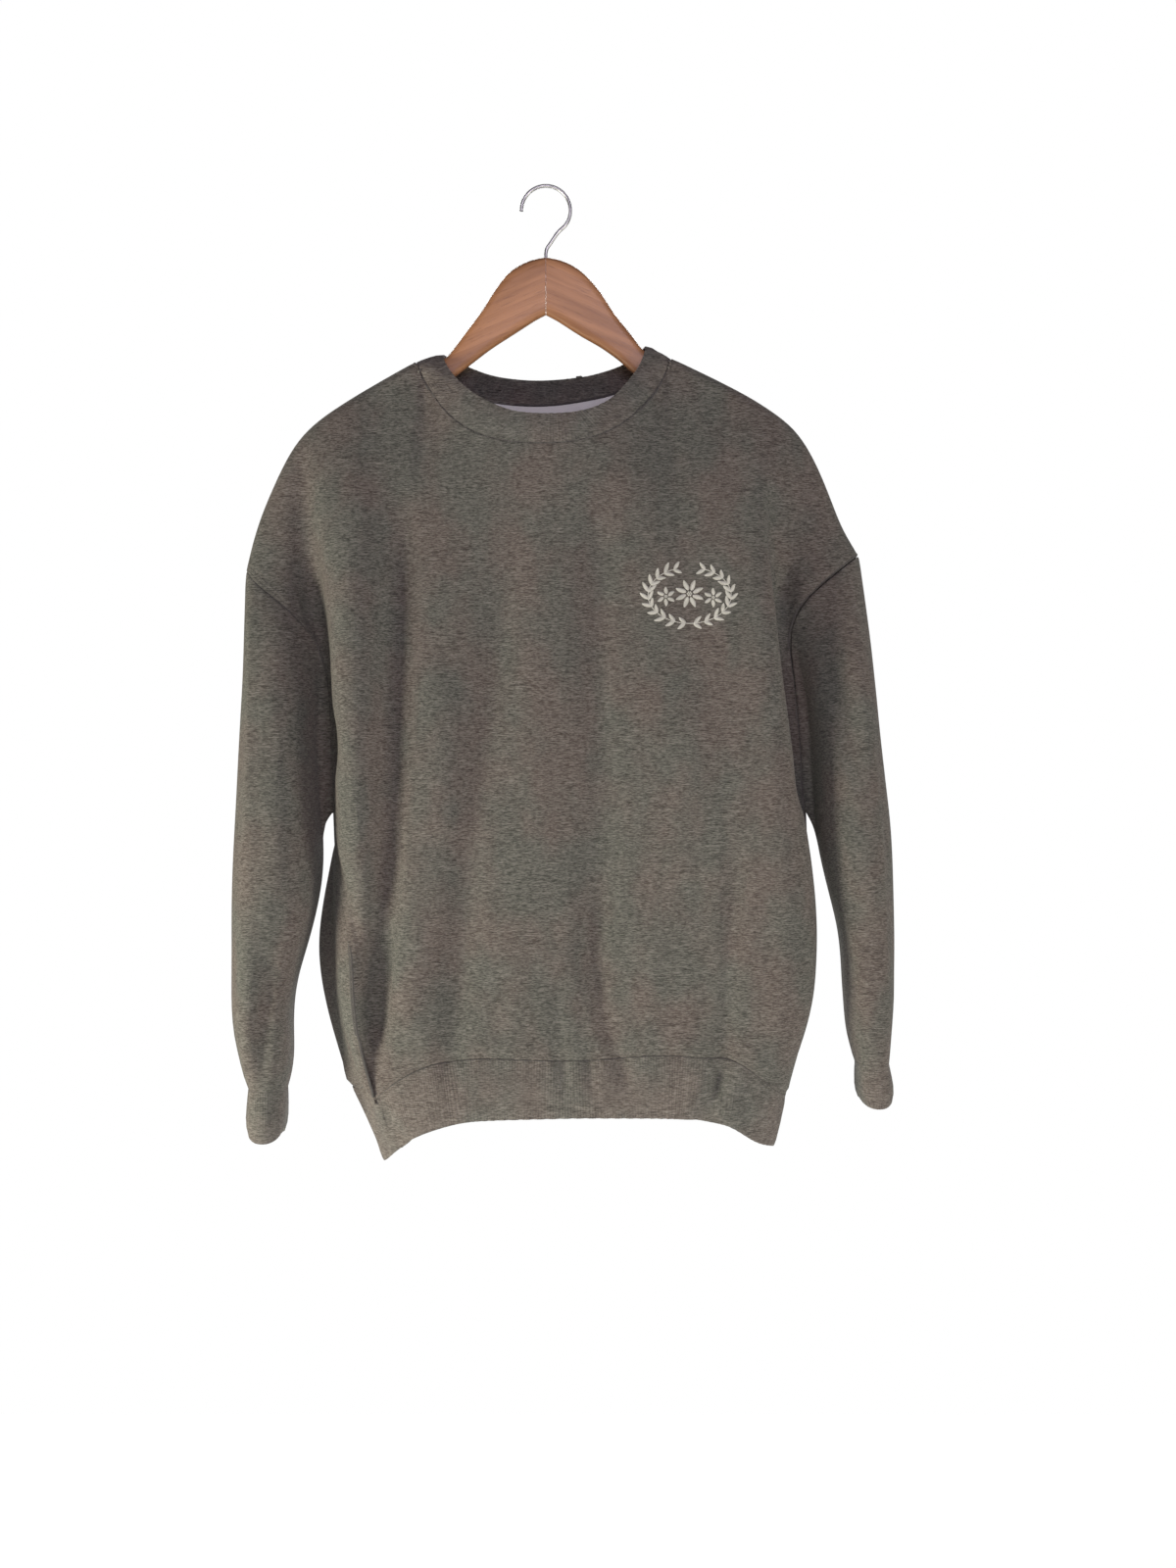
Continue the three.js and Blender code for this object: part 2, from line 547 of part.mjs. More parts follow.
// Normals at every grid point. Pieces that share a point share its normal. In a crease, where the
// sum of the faces' normals says nothing, the normal is given.
const keyOf = (p) => p.map((value) => Math.round(value * 50)).join();
const creases = new Map(
  [[0, -0.4], [-1, 0.4]].map(([column, x]) => [keyOf(frontGrid[ARMHOLE_ROWS].at(column)), [x, 0, -0.9]]),
);
function addNormals(pieces) {
  const sums = new Map();
  const addTo = (p, normal) => {
    const key = keyOf(p);
    if (!sums.has(key)) sums.set(key, new THREE.Vector3());
    sums.get(key).add(normal);
  };
  for (const { grid, ring, facing } of pieces) {
    const across = grid[0].length;
    for (let i = 0; i < grid.length - 1; i += 1) {
      for (let j = 0; j < (ring ? across : across - 1); j += 1) {
        const corner = [grid[i][j], grid[i][(j + 1) % across], grid[i + 1][(j + 1) % across], grid[i + 1][j]];
        const [a, b, c, d] = corner.map((p) => new THREE.Vector3(...p));
        const normal = c.clone().sub(a).cross(b.clone().sub(d)).multiplyScalar(facing);
        corner.forEach((p) => addTo(p, normal));
      }
    }
  }
  for (const [key, normal] of creases) sums.get(key)?.set(...normal);
  for (const piece of pieces) {
    piece.normals = piece.grid.map((row) => row.map((p) => sums.get(keyOf(p)).clone().normalize()));
  }
}
addNormals(cloth);
addNormals([tape]);

// How far a seam point moves back along its own piece, square to the seam on both sides of it.
function drawBack(before, here, after, inside, normal) {
  const at = new THREE.Vector3(...here);
  const inwards = new THREE.Vector3(...inside).sub(at);
  if (creases.has(keyOf(here))) return inwards.setLength(SEAM_GAP);
  const square = (from, to) => {
    const way = new THREE.Vector3(...to).sub(new THREE.Vector3(...from)).cross(normal).normalize();
    return way.dot(inwards) < 0 ? way.negate() : way;
  };
  const first = square(before ?? here, before ? here : after);
  const second = square(after ? here : before, after ?? here);
  const way = first.clone().add(second).normalize();
  return way.multiplyScalar(SEAM_GAP / 2 / Math.max(way.dot(first), 0.5));
}

// A wall around a grid: its points moved out and in by half the wall, drawn back at the seams.
function wallGeometry({ grid, normals, wall, ring, facing }) {
  const [down, across] = [grid.length, grid[0].length];
  const positions = [];
  const column = (row, j) => (ring ? row[(j + across) % across] : row[j]);
  for (const side of [1, -1]) {
    for (let i = 0; i < down; i += 1) {
      for (let j = 0; j < across; j += 1) {
        const [here, normal] = [grid[i][j], normals[i][j]];
        const p = new THREE.Vector3(...here);
        if (i === 0 || i === down - 1) {
          const inner = grid[i === 0 ? 1 : i - 1][j];
          p.add(drawBack(column(grid[i], j - 1), here, column(grid[i], j + 1), inner, normal));
        }
        if (!ring && (j === 0 || j === across - 1)) {
          const inner = grid[i][j === 0 ? 1 : j - 1];
          p.add(drawBack(grid[i - 1]?.[j], here, grid[i + 1]?.[j], inner, normal));
        }
        positions.push(...p.addScaledVector(normal, (side * wall) / 2).toArray());
      }
    }
  }
  const index = [];
  const at = (side, i, j) => (side * down + i) * across + (j % across);
  const apart = (a, b) => Math.hypot(...[0, 1, 2].map((n) => positions[3 * a + n] - positions[3 * b + n]));
  const quad = (a, b, c, d) => {
    const halves = apart(a, c) < apart(b, d) ? [[a, b, c], [a, c, d]] : [[a, b, d], [b, c, d]];
    for (const [p, q, r] of halves) index.push(...(facing > 0 ? [p, q, r] : [p, r, q]));
  };
  const lastColumn = ring ? across : across - 1;
  for (let i = 0; i < down - 1; i += 1) {
    for (let j = 0; j < lastColumn; j += 1) {
      quad(at(0, i, j), at(0, i + 1, j), at(0, i + 1, j + 1), at(0, i, j + 1));
      quad(at(1, i, j), at(1, i, j + 1), at(1, i + 1, j + 1), at(1, i + 1, j));
    }
  }
  for (let j = 0; j < lastColumn; j += 1) {
    quad(at(0, 0, j), at(0, 0, j + 1), at(1, 0, j + 1), at(1, 0, j));
    quad(at(0, down - 1, j), at(1, down - 1, j), at(1, down - 1, j + 1), at(0, down - 1, j + 1));
  }
  for (let i = 0; i < down - 1 && !ring; i += 1) {
    quad(at(0, i, 0), at(1, i, 0), at(1, i + 1, 0), at(0, i + 1, 0));
    const j = across - 1;
    quad(at(0, i, j), at(0, i + 1, j), at(1, i + 1, j), at(1, i, j));
  }
  const geometry = new THREE.BufferGeometry();
  geometry.setAttribute("position", new THREE.Float32BufferAttribute(positions, 3));
  geometry.setIndex(index);
  return geometry;
}

// The hanger's arms from the joint to the neck. Columns: distance from the middle of the top edge, its
// drop, distance from the middle of the lower edge, its drop.
const ARM = {
  right: [
    [0.15, 0, 0.15, 51], [12, 2, 10, 56], [24, 7, 22, 64], [35, 15, 33, 71], [47, 32, 44, 78],
    [58, 50, 54, 85], [72, 68, 64, 93], [84, 84.5, 76, 102], [92, 92.5, 85, 110],
  ],
  left: [
    [0.15, 0, 0.15, 51], [12, 2, 10, 56], [24, 7, 22, 64], [35, 15, 33, 71], [50, 32, 46, 78],
    [60, 50, 55, 84], [75, 67, 66, 92], [83, 79, 74, 100], [91, 86.5, 83, 107],
  ],
};
const ARM_HEIGHT = 31; // across the arm, inside the shoulder
const ARM_LENGTH = 214; // from the middle to where the end rounds off
const BAND_ROOM = 1.4; // more room below the neckband's corner

// The line between the top and lower edge of an arm at each section.
function armSections(name) {
  const offset = FLEECE / 2 + SEAT_GAP;
  const shoulder = SHOULDER[name];
  const sections = [...ARM[name]];
  for (let i = 0; i <= SHOULDER_COLUMNS / 2; i += 1) {
    const t = 1 - i / SHOULDER_COLUMNS;
    const [x, , drop] = follow(shoulder, t);
    const [x2, , drop2] = follow(shoulder, t - 0.01);
    const [dx, dz] = [Math.abs(x2) - Math.abs(x), drop2 - drop];
    const length = Math.hypot(dx, dz);
    const at = (depth) => [Math.abs(x) - (dz / length) * depth, drop + (dx / length) * depth];
    const room = offset + (i === 0 ? BAND_ROOM : 0);
    if (at(room)[0] < ARM_LENGTH) sections.push([...at(room), ...at(room + ARM_HEIGHT)]);
  }
  const [topX, topDrop, lowX, lowDrop] = sections.at(-1);
  const [acrossX, acrossDrop] = [lowX - topX, lowDrop - topDrop];
  for (const degrees of [25, 50, 70, 84]) {
    const angle = (degrees * Math.PI) / 180;
    const out = 0.4 * Math.sin(angle);
    const cut = (1 - Math.cos(angle)) / 2;
    const alongX = topX + acrossDrop * out;
    const alongDrop = topDrop - acrossX * out;
    sections.push([
      alongX + acrossX * cut, alongDrop + acrossDrop * cut,
      alongX + acrossX * (1 - cut), alongDrop + acrossDrop * (1 - cut),
    ]);
  }
  return sections;
}

// An arm is a loft of upright sections with rounded corners.
function armGeometry(name, sign) {
  const sections = armSections(name);
  const positions = [];
  const corners = [[1, 0], [1, 1], [-1, 1], [-1, 0]]; // towards the back or front, top or lower edge
  sections.forEach(([topX, topDrop, lowX, lowDrop]) => {
    const height = Math.hypot(lowX - topX, lowDrop - topDrop);
    const radius = Math.min(WOOD_EDGE, height * 0.42);
    corners.forEach(([side, low], k) => {
      for (let i = 0; i <= 3; i += 1) {
        const angle = ((i / 3 + k - 1) * Math.PI) / 2;
        const y = side * (WOOD / 2 - radius) + radius * Math.cos(angle);
        const inset = low ? height - radius : radius;
        const share = (inset + radius * Math.sin(angle)) / height;
        positions.push(sign * lerp(topX, lowX, share), y, heightOf(lerp(topDrop, lowDrop, share)));
      }
    });
  });
  const across = 16;
  const index = [];
  const triangle = (a, b, c) => index.push(...(sign > 0 ? [a, c, b] : [a, b, c]));
  for (let i = 0; i < sections.length - 1; i += 1) {
    for (let j = 0; j < across; j += 1) {
      const [a, b] = [i * across + j, i * across + ((j + 1) % across)];
      triangle(a, b, b + across);
      triangle(a, b + across, a + across);
    }
  }
  const last = (sections.length - 1) * across;
  for (let j = 1; j < across - 1; j += 1) {
    triangle(0, j + 1, j);
    triangle(last, last + j, last + j + 1);
  }
  const geometry = new THREE.BufferGeometry();
  geometry.setAttribute("position", new THREE.Float32BufferAttribute(positions, 3));
  geometry.setIndex(index);
  return geometry;
}

const toSolid = (geometry) => {
  const bare = geometry.clone();
  bare.deleteAttribute("normal");
  bare.deleteAttribute("uv");
  const merged = mergeVertices(bare, 1e-3);
  return new wasm.Manifold(new wasm.Mesh({
    numProp: 3,
    vertProperties: merged.attributes.position.array,
    triVerts: new Uint32Array(merged.index.array),
  }));
};
const toGeometry = (solid) => {
  const mesh = solid.getMesh();
  const geometry = new THREE.BufferGeometry();
  geometry.setAttribute("position", new THREE.BufferAttribute(mesh.vertProperties, 3));
  geometry.setIndex(new THREE.BufferAttribute(mesh.triVerts, 1));
  return geometry;
};

// The steel hook: a stem in the joint's hole, and a round bend with its opening to the right.
const WIRE = 3.6;
const BEND = 20; // inner radius of the bend
const STEM_IN_WOOD = 24;
const STEM_BORE = WIRE / 2 + 0.3;

function hookGeometry() {
  const radius = BEND + WIRE / 2;
  const points = [
    [0, -HANGER_DROP - STEM_IN_WOOD], [0, -HANGER_DROP], [0.4, -HANGER_DROP + 7], [4.5, -48.5],
  ];
  for (let degrees = -58; degrees <= 196; degrees += 16) {
    const angle = (degrees * Math.PI) / 180;
    points.push([radius * Math.cos(angle), radius * Math.sin(angle) - BEND]);
  }
  const path = new THREE.CatmullRomCurve3(
    points.map(([x, z]) => new THREE.Vector3(x, 0, z)), false, "centripetal",
  );
  const section = new THREE.Shape(new THREE.EllipseCurve(0, 0, WIRE / 2, WIRE / 2).getPoints(8).slice(0, 8));
  return new THREE.ExtrudeGeometry(section, { steps: 44, extrudePath: path });
}

const stemHole = new THREE.CylinderGeometry(STEM_BORE, STEM_BORE, 2 * STEM_IN_WOOD + 2, 16);
stemHole.rotateX(Math.PI / 2);
stemHole.translate(0, 0, -HANGER_DROP);
const holeSolid = toSolid(stemHole);

const sweatshirt = new THREE.Group();
sweatshirt.name = "sweatshirt_on_hanger";

function addMesh(name, geometry, colour, roughness, metalness = 0) {
  const material = new THREE.MeshStandardMaterial({ color: colour, roughness, metalness });
  material.side = THREE.DoubleSide;
  geometry.computeVertexNormals();
  const mesh = new THREE.Mesh(geometry, material);
  mesh.name = name;
  sweatshirt.add(mesh);
}

for (const piece of [...cloth, tape]) addMesh(piece.name, wallGeometry(piece), piece.colour, 0.95);
for (const [name, sign] of [["right", -1], ["left", 1]]) {
  const arm = toSolid(armGeometry(name, sign)).subtract(holeSolid);
  addMesh("hanger_arm_" + name, toGeometry(arm), 0xa8714c, 0.45);
}
addMesh("hanger_hook", hookGeometry(), 0xb9bcc0, 0.3, 1);

export default sweatshirt;
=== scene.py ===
# %% [markdown]
# # A grey melange sweatshirt on a wooden hanger
#
# The CAD model already has each sewn piece as a thin wall, in metres, in its hung shape.
# This lesson turns those walls into cloth: it smooths them, presses in the small creases,
# knits the ribs, sews the seams, and gives each piece a finish made of nodes.
# The model is loaded first.

# %% Load the model
import math
import random

import bmesh
import bpy
import numpy as np
from mathutils import Matrix, Vector, noise
from mathutils.bvhtree import BVHTree
from mathutils.kdtree import KDTree


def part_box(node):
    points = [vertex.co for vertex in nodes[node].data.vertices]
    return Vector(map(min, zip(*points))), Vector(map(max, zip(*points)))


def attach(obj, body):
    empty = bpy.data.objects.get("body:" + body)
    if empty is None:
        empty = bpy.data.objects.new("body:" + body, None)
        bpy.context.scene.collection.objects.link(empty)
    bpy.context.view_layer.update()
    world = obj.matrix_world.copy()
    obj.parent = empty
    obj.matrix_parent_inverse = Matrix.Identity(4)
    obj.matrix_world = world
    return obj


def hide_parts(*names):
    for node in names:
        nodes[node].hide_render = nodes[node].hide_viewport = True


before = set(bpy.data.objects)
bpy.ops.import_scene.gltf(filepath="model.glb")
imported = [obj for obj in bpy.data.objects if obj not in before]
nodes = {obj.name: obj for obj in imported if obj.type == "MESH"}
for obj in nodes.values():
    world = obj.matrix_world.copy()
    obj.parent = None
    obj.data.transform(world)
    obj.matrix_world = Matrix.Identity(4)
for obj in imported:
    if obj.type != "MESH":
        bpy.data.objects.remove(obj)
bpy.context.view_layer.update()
print("pieces in the model:", len(nodes))

# %% [markdown]
# The garment is measured as a tailor would: a *drop* is a depth in millimetres below the top of
# the hanger's wood, which is itself 62 mm below the inside of the hook, where the model's
# origin is. Widths are counted in millimetres from the middle of the hanger.

# %% Millimetres and drops
MM = 0.001
HANGER_DROP = 62


def height(drop):
    return -(HANGER_DROP + drop) * MM


def smooth(t):
    t = np.clip(t, 0, 1)
    return t * t * (3 - 2 * t)


print("hem seam at height", round(height(720), 3), "m")

# %% [markdown]
# The camera stands two metres away, level with the chest, and looks straight at the garment,
# as in the photograph. The sensor is fitted to the picture's height, because the picture is tall.

# %% Camera
VIEW_DISTANCE = 2.0
VIEW_HEIGHT = -0.5292
VIEW_ACROSS = 0.0374
PICTURE_HEIGHT = 1.392
SENSOR = 36.0

camera_data = bpy.data.cameras.new("camera")
camera_data.sensor_fit = "VERTICAL"
camera_data.sensor_height = SENSOR
camera_data.lens = SENSOR * VIEW_DISTANCE / PICTURE_HEIGHT
camera_data.clip_end = 60
camera = bpy.data.objects.new("camera", camera_data)
camera.location = (VIEW_ACROSS, -VIEW_DISTANCE, VIEW_HEIGHT)
camera.rotation_euler = (math.radians(90), 0, 0)
bpy.context.scene.collection.objects.link(camera)
bpy.context.scene.camera = camera
print("lens:", round(camera_data.lens, 1), "mm")

# %% [markdown]
# Soft light shows cloth best. Two warm lamps stand low at the sides and a weak one low in front,
# a cool one hangs high in front, and a pale room fills the shadows. The camera sees the room as
# white, but the cloth and the steel see it much dimmer, or they would lose their form. A pale
# floor lies far below the hem, lit by a lamp of its own. It isn't part of the garment.

# %% Light and floor
LAMPS = [
    # name, place, aims at, width, height, power, colour
    ("low_left", (-1.5, -0.6, -1.10), (-0.05, 0.0, -0.80), 0.5, 0.35, 30, (1.0, 0.97, 0.80)),
    ("low_right", (1.65, -0.9, -1.10), (0.1, 0.0, -0.75), 0.6, 0.35, 15, (1.0, 0.97, 0.82)),
    ("low_front", (0.1, -1.7, -1.20), (0.04, 0.0, -0.80), 1.0, 0.2, 7, (1.0, 0.97, 0.82)),
    ("high_front", (0.3, -2.2, 0.25), (0.0, 0.0, -0.05), 0.7, 0.6, 13, (0.93, 0.82, 1.0)),
    ("floor_wash", (0.0, 2.2, 0.6), (0.0, 0.1, -1.3), 2.0, 1.2, 90, (1.0, 1.0, 1.0)),
]
ROOM_LIGHT = 0.17
GLOSS_LIGHT = 0.16
WALL_LIGHT = 1.0
FLOOR_HEIGHT = -1.3
FLOOR_SIZE = 1.5


def add_lamp(name, place, target, width, depth, power, colour):
    data = bpy.data.lights.new(name, "AREA")
    data.shape = "RECTANGLE"
    data.size = width
    data.size_y = depth
    data.energy = power
    data.color = colour
    lamp = bpy.data.objects.new(name, data)
    lamp.location = place
    lamp.rotation_euler = (Vector(target) - Vector(place)).to_track_quat("-Z", "Y").to_euler()
    bpy.context.scene.collection.objects.link(lamp)


for lamp_row in LAMPS:
    add_lamp(*lamp_row)

room = bpy.data.worlds.new("pale_room")
room.use_nodes = True
room_nodes = room.node_tree.nodes
seen = room_nodes.new("ShaderNodeLightPath")


def choose(ray, otherwise, value):
    """A world strength of value for one kind of ray, and otherwise for all others."""
    made = room_nodes.new("ShaderNodeMapRange")
    room.node_tree.links.new(seen.outputs[ray], made.inputs["Value"])
    made.inputs["To Max"].default_value = value
    if isinstance(otherwise, float):
        made.inputs["To Min"].default_value = otherwise
    else:
        room.node_tree.links.new(otherwise, made.inputs["To Min"])
    return made.outputs["Result"]


strength = choose("Is Diffuse Ray", choose("Is Camera Ray", GLOSS_LIGHT, WALL_LIGHT), ROOM_LIGHT)
room.node_tree.links.new(strength, room_nodes["Background"].inputs["Strength"])
room_nodes["Background"].inputs["Color"].default_value = (1, 1, 1, 1)
bpy.context.scene.world = room
bpy.context.scene.view_settings.view_transform = "Standard"

floor_mesh = bmesh.new()
bmesh.ops.create_grid(floor_mesh, x_segments=1, y_segments=1, size=FLOOR_SIZE / 2)
bmesh.ops.translate(floor_mesh, verts=floor_mesh.verts, vec=(0, 0, FLOOR_HEIGHT))
floor_data = bpy.data.meshes.new("floor")
floor_mesh.to_mesh(floor_data)
floor = bpy.data.objects.new("floor", floor_data)
bpy.context.scene.collection.objects.link(floor)
print("lamps:", len(LAMPS))

# %% [markdown]
# A finish is a small recipe of nodes. Written out one by one they are hard to read, so two
# helpers do the work: `Value` wraps a socket, so that `1 - groove * 0.4` adds its own Math
# nodes, and `Finish` makes any other node from its type, its settings and its inputs.


# %% Helpers for finishes
class Value:
    """A number that changes over a surface, and can be used in plain sums."""

    def __init__(self, finish, socket):
        self.finish = finish
        self.socket = socket

    def sum(self, operation, *terms):
        return self.finish.node("ShaderNodeMath", {"operation": operation}, dict(enumerate(terms)))

    def __add__(self, other):
        return self.sum("ADD", self, other)

    def __sub__(self, other):
        return self.sum("SUBTRACT", self, other)

    def __rsub__(self, other):
        return self.sum("SUBTRACT", other, self)

    def __mul__(self, other):
        return self.sum("MULTIPLY", self, other)

    def __truediv__(self, other):
        return self.sum("DIVIDE", self, other)

    def __rtruediv__(self, other):
        return self.sum("DIVIDE", other, self)

    __radd__ = __add__
    __rmul__ = __mul__

    def wave(self):
        """A cosine between 0 and 1, which is 1 at every whole number."""
        return self.sum("COSINE", self * (2 * math.pi)) * 0.5 + 0.5

    def between(self, low, high):
        """0 below low, 1 above high, and soft in between."""
        return self.finish.node(
            "ShaderNodeMapRange",
            {"interpolation_type": "SMOOTHSTEP"},
            {"Value": self, "From Min": low, "From Max": high},
        )


class Finish:
    """One material, and the nodes that feed its shader."""

    def __init__(self, name, **constants):
        self.material = bpy.data.materials.new(name)
        self.material.use_nodes = True
        self.tree = self.material.node_tree
        self.shader = self.tree.nodes["Principled BSDF"]
        for label, value in constants.items():
            self.shader.inputs[label.replace("_", " ")].default_value = value

    def node(self, kind, settings=None, inputs=None, output=0):
        made = self.tree.nodes.new(kind)
        for label, value in (settings or {}).items():
            setattr(made, label, value)
        for label, value in (inputs or {}).items():
            self.join(made.inputs[label], value)
        return Value(self, made.outputs[output])

    def join(self, socket, value):
        if isinstance(value, Value):
            self.tree.links.new(value.socket, socket)
        else:
            socket.default_value = value

    def feed(self, label, value):
        self.tree.links.new(value.socket, self.shader.inputs[label])

    def place(self, stretch=(1, 1, 1), turn=(0, 0, 0), source="Object"):
        """Object or UV coordinates, stretched and turned."""
        start = self.node("ShaderNodeTexCoord", output=source)
        inputs = {"Vector": start, "Scale": stretch, "Rotation": turn}
        return self.node("ShaderNodeMapping", None, inputs)

    def cloud(self, where, size, detail=2.0, roughness=0.5, curl=0.0):
        """Noise whose spots are about size metres across, and curl round each other."""
        inputs = {"Vector": where, "Scale": 1 / size, "Detail": detail}
        inputs.update({"Roughness": roughness, "Distortion": curl})
        return self.node("ShaderNodeTexNoise", {"noise_dimensions": "3D"}, inputs)

    def blend(self, share, first, second, way="MIX"):
        """A colour between two colours, by a share from 0 to 1."""
        settings = {"data_type": "RGBA", "blend_type": way}
        return self.node("ShaderNodeMix", settings, {0: share, 6: first, 7: second}, output=2)

    def split(self, where, axis):
        return self.node("ShaderNodeSeparateXYZ", None, {0: where}, output=axis)

    def relief(self, amount, depth):
        """Bumps of that depth in metres, where amount goes from 0 to 1."""
        bump = self.node("ShaderNodeBump", None, {"Strength": 1.0, "Distance": depth, "Height": amount})
        self.feed("Normal", bump)


print("helpers ready")

# %% [markdown]
# Melange yarn is spun from dark and pale fibres that aren't fully mixed, so the knitted face
# shows short slubs: flat streaks a few millimetres long, some darker and some paler. They lie
# level, along the rows of knitting, so the noise is squeezed in height. A second, broader
# noise makes the faint warm and cool patches that such yarn has.

# %% Melange finish
CHARCOAL = (0.034, 0.030, 0.029, 1)
ASH = (0.196, 0.181, 0.168, 1)
PALE_FIBRE = (0.34, 0.322, 0.295, 1)
# the yarn's dark fibres, and in the rib finish also the painted shade in the grooves between ribs
DARK_FIBRE_AND_GROOVE_SHADE = (0.018, 0.016, 0.016, 1)
WARM_PATCH = (0.150, 0.112, 0.098, 1)
COOL_PATCH = (0.098, 0.110, 0.094, 1)
SLUB = 3.6 * MM
LONG_SLUB = 8.5 * MM
PATCH = 42 * MM
WALE = 1.1 * MM
COURSE = 0.9 * MM
NAP = 3.5 * MM
TUFT = 12 * MM


def melange(finish, pale=1.0, lift=0.0):
    """The colour and the relief of melange knitting, from the level slubs of its yarn."""
    level = finish.place(stretch=(1, 1, 6.5))
    flatter = finish.place(stretch=(1, 1.1, 9))
    fine = finish.cloud(level, SLUB, detail=3, roughness=0.6, curl=0.5)
    slubs = finish.cloud(flatter, LONG_SLUB, detail=2, roughness=0.55, curl=0.3)
    patches = finish.cloud(finish.place(stretch=(1, 1, 0.6)), PATCH, detail=2, roughness=0.5)
    ground = finish.blend(fine.between(0.39, 0.61), CHARCOAL, ASH)
    patch = finish.blend(patches.between(0.34, 0.66), WARM_PATCH, COOL_PATCH)
    ground = finish.blend(0.36, ground, patch)
    ground = finish.blend((1 - slubs).between(0.54, 0.72) * 0.6, ground, DARK_FIBRE_AND_GROOVE_SHADE)
    ground = finish.blend(slubs.between(0.56, 0.74) * (0.34 * pale) + lift, ground, PALE_FIBRE)
    return ground, fine * 0.6 + slubs * 0.4


def stockinette(finish):
    """Fine V stitches, along the cloth's own UV map, which is in metres."""
    cloth = finish.place(source="UV")
    across = finish.split(cloth, 0) / WALE
    along = finish.split(cloth, 1) / COURSE
    slant = across.sum("PINGPONG", across, 0.5)
    return across.wave() * 0.6 + (along + slant).wave() * 0.4


def fleece_finish():
    finish = Finish("melange_fleece", Roughness=0.93, Sheen_Weight=0.16, Sheen_Roughness=0.5)
    finish.shader.inputs["Sheen Tint"].default_value = (0.8, 0.78, 0.74, 1)
    finish.shader.inputs["Specular IOR Level"].default_value = 0.18
    colour, rise = melange(finish)
    finish.feed("Base Color", colour)
    finish.relief(rise * 0.6 + stockinette(finish) * 0.4, 0.0004)
    return finish.material


def brushed_finish():
    """The inside of the fleece, brushed into a pale nap."""
    finish = Finish("brushed_back", Roughness=0.97, Sheen_Weight=0.3)
    finish.shader.inputs["Specular IOR Level"].default_value = 0.1
    where = finish.place()
    nap = finish.cloud(where, NAP, detail=4, roughness=0.7)
    tufts = finish.cloud(where, TUFT, detail=2)
    dark, pale = (0.115, 0.105, 0.098, 1), (0.21, 0.195, 0.18, 1)
    colour = finish.blend(nap.between(0.35, 0.65), dark, pale)
    finish.feed("Base Color", colour)
    finish.relief(nap * 0.6 + tufts * 0.4, 0.0012)
    return finish.material


RIB_PITCH = 2.4 * MM


def rib_finish():
    """Melange yarn again, knitted one rib up and one down, with painted shade in the grooves between the
    ribs. UV counts the ribs.
    """
    finish = Finish("melange_rib", Roughness=0.93, Sheen_Weight=0.14)
    finish.shader.inputs["Specular IOR Level"].default_value = 0.18
    colour, rise = melange(finish, pale=1.2, lift=0.05)
    ribs = finish.split(finish.place(source="UV"), 0).wave()
    # the grooves between the ribs are darkened in colour: painted shade
    colour = finish.blend((1 - ribs) * 0.14, colour, DARK_FIBRE_AND_GROOVE_SHADE)
    finish.feed("Base Color", colour)
    finish.relief(rise * 0.6 + ribs * 0.4, 0.0005)
    return finish.material


FLEECE = fleece_finish()
BRUSHED = brushed_finish()
RIB = rib_finish()
print("cloth finishes:", FLEECE.name, BRUSHED.name, RIB.name)

# %% [markdown]
# Each sewn piece starts from the outer face of its wall. The model's triangles are merged and
# paired back into squares, because squares smooth better. The wall's rim meets its faces at a
# sharp angle, so a walk that never crosses a sharp edge finds the outer face on its own.

# %% The outer face of a wall
RIM_ANGLE = math.radians(50)
MERGE = 0.01 * MM
EVEN_SQUARES = 1.6


def squares(node):
    """A merged copy of a node's mesh, with its triangles paired, and its sharp edges marked."""
    mesh = bmesh.new()
    mesh.from_mesh(nodes[node].data)
    bmesh.ops.remove_doubles(mesh, verts=mesh.verts, dist=MERGE)
    for edge in mesh.edges:
        edge.smooth = edge.calc_face_angle(0) < RIM_ANGLE
    bmesh.ops.join_triangles(
        mesh, faces=mesh.faces, cmp_sharp=True, angle_face_threshold=math.pi,
        angle_shape_threshold=math.pi, topology_influence=EVEN_SQUARES,
    )
    return mesh


def wall_faces(wall):
    """The faces of a wall in groups that sharp edges divide, largest first."""
    groups = []
    seen = set()
    for start in wall.faces:
        if start in seen:
            continue
        seen.add(start)
        group = [start]
        for face in group:
            for edge in face.edges:
                for other in edge.link_faces:
                    if edge.smooth and other not in seen:
                        seen.add(other)
                        group.append(other)
        groups.append(group)
    return sorted(groups, key=lambda group: -sum(face.calc_area() for face in group))


def outward(group, middle):
    """How much a group of faces looks away from a middle point."""
    return sum(
        face.calc_area() * face.normal.dot(face.calc_center_median() - middle) for face in group
    )


def outer_face(node, middle=None):
    """A bmesh of the outer face of a node's wall, in squares."""
    wall = squares(node)
    low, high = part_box(node)
    middle = middle or (low + high) / 2
    faces = wall_faces(wall)[:2]
    keep = set(max(faces, key=lambda group: outward(group, middle)))
    rest = [face for face in wall.faces if face not in keep]
    bmesh.ops.delete(wall, geom=rest, context="FACES")
    return wall


def shade_smooth(piece):
    for polygon in piece.data.polygons:
        polygon.use_smooth = True


def new_object(name, mesh_or_bmesh, *materials):
    """A new piece in the scene, from a mesh or from a bmesh, which is freed."""
    if isinstance(mesh_or_bmesh, bmesh.types.BMesh):
        data = bpy.data.meshes.new(name)
        mesh_or_bmesh.to_mesh(data)
        mesh_or_bmesh.free()
    else:
        data = mesh_or_bmesh
    made = bpy.data.objects.new(name, data)
    for material in materials:
        data.materials.append(material)
    bpy.context.scene.collection.objects.link(made)
    shade_smooth(made)
    return made


def settle(piece):
    """Applies the modifiers of a piece to its mesh."""
    graph = bpy.context.evaluated_depsgraph_get()
    data = bpy.data.meshes.new_from_object(piece.evaluated_get(graph))
    piece.modifiers.clear()
    piece.data = data
    return piece


